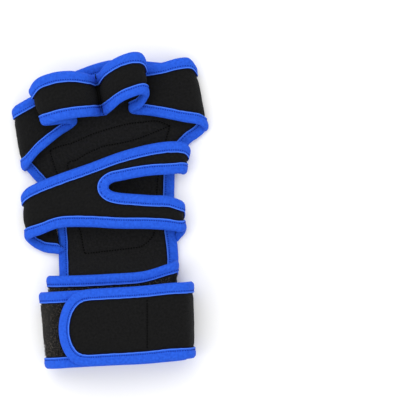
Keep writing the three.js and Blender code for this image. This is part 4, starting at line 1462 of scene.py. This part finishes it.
def pile_loops():
    """Small yarn loops standing on the strap's outer face where it shows beside and under the closing end."""
    rng = np.random.default_rng(77)
    spots = [
        pile_spots(rng, 2.6, 8.6, 0.15, 0.40),
        pile_spots(rng, 20.0, 21.5, 0.15, 0.85),
        pile_spots(rng, 21.5, 23.2, 0.15, 0.85, 0.4 * PILE_DENSITY),
    ]
    t = np.concatenate([s[0] for s in spots])
    v = np.concatenate([s[1] for s in spots])
    base = WRIST.point(t, v)
    up = WRIST.normal(t, v)
    turn = rng.uniform(0, 2 * math.pi, len(t))[:, None]
    along = unit(WRIST.along(t, v))
    side = np.cross(up, along)
    reach = along * np.cos(turn) + side * np.sin(turn)
    lean = np.cross(up, reach) * rng.normal(0, 0.45, (len(t), 1))
    size = PILE_LOOP * rng.uniform(0.7, 1.25, (len(t), 1))
    stops = np.linspace(0, math.pi, 6)
    rings = []
    for angle in stops:
        spine = base + up * (HALF_SHEET + 0.02) + reach * size * math.cos(angle)
        spine = spine + (up + lean) * size * math.sin(angle)
        outwards = reach * math.cos(angle) + up * math.sin(angle)
        beside = np.cross(up, reach)
        for k in range(3):
            corner = 2 * math.pi * k / 3
            rings.append(spine + (outwards * math.cos(corner) + beside * math.sin(corner)) * PILE_YARN)
    points = np.stack(rings, 1)
    size_each = points.shape[1]
    shape = [(0, 1, 2), (size_each - 1, size_each - 2, size_each - 3)]
    faces = repeated(shape + tube_faces(0, len(stops), 3), size_each, len(points))
    uv = np.repeat(np.stack([t * 500, v * 50], -1)[:, None, :], size_each, axis=1).reshape(-1, 2)
    return new_piece("pile_loops", points.reshape(-1, 3), faces, [PILE_YARN_GREY], [], None, uv)


pile = pile_loops()


# The table, the light and the camera.
def pale_floor():
    bpy.ops.mesh.primitive_plane_add(size=FLOOR_SIZE, location=(0, 0, -FLOOR_DROP))
    floor = bpy.context.object
    floor.name = "pale_floor"
    material = bpy.data.materials.new("pale_table")
    material.use_nodes = True
    look = {"Base Color": (0.96, 0.96, 0.96, 1), "Roughness": 0.9, "Specular IOR Level": 0.1}
    feed(material.node_tree, material.node_tree.nodes["Principled BSDF"], look)
    floor.data.materials.append(material)


def soft_light(name, place, size, power):
    data = bpy.data.lights.new(name, "AREA")
    data.shape = "DISK"
    data.size = size
    data.energy = power
    lamp = bpy.data.objects.new(name, data)
    lamp.location = place
    lamp.rotation_euler = Vector(place).to_track_quat("Z", "Y").to_euler()
    bpy.context.scene.collection.objects.link(lamp)


def studio():
    world = bpy.data.worlds.new("studio")
    bpy.context.scene.world = world
    world.use_nodes = True
    sky = {"Color": (1, 1, 1, 1), "Strength": WORLD_LIGHT}
    feed(world.node_tree, world.node_tree.nodes["Background"], sky)
    soft_light("light_from_fingers", (-0.25, 0.7, 1.5), 1.2, 6)
    soft_light("light_from_side", (-1.0, -0.3, 1.2), 1.0, 3)
    bpy.context.scene.view_settings.view_transform = "Standard"


def photo_camera():
    """Straight above the photo's middle, far enough away that the glove shows almost without perspective."""
    across = PHOTO_SIDE * PHOTO_SCALE * MM
    x = (PHOTO_SIDE / 2 - GLOVE_MIDDLE_PIXEL[0]) * PHOTO_SCALE * MM
    y = (GLOVE_MIDDLE_PIXEL[1] - PHOTO_SIDE / 2) * PHOTO_SCALE * MM
    data = bpy.data.cameras.new("photo_camera")
    data.lens = data.sensor_width * CAMERA_DISTANCE / across
    data.clip_end = 20
    camera = bpy.data.objects.new("photo_camera", data)
    camera.location = (x, y, CAMERA_DISTANCE)
    bpy.context.scene.collection.objects.link(camera)
    bpy.context.scene.camera = camera


pale_floor()
studio()
photo_camera()
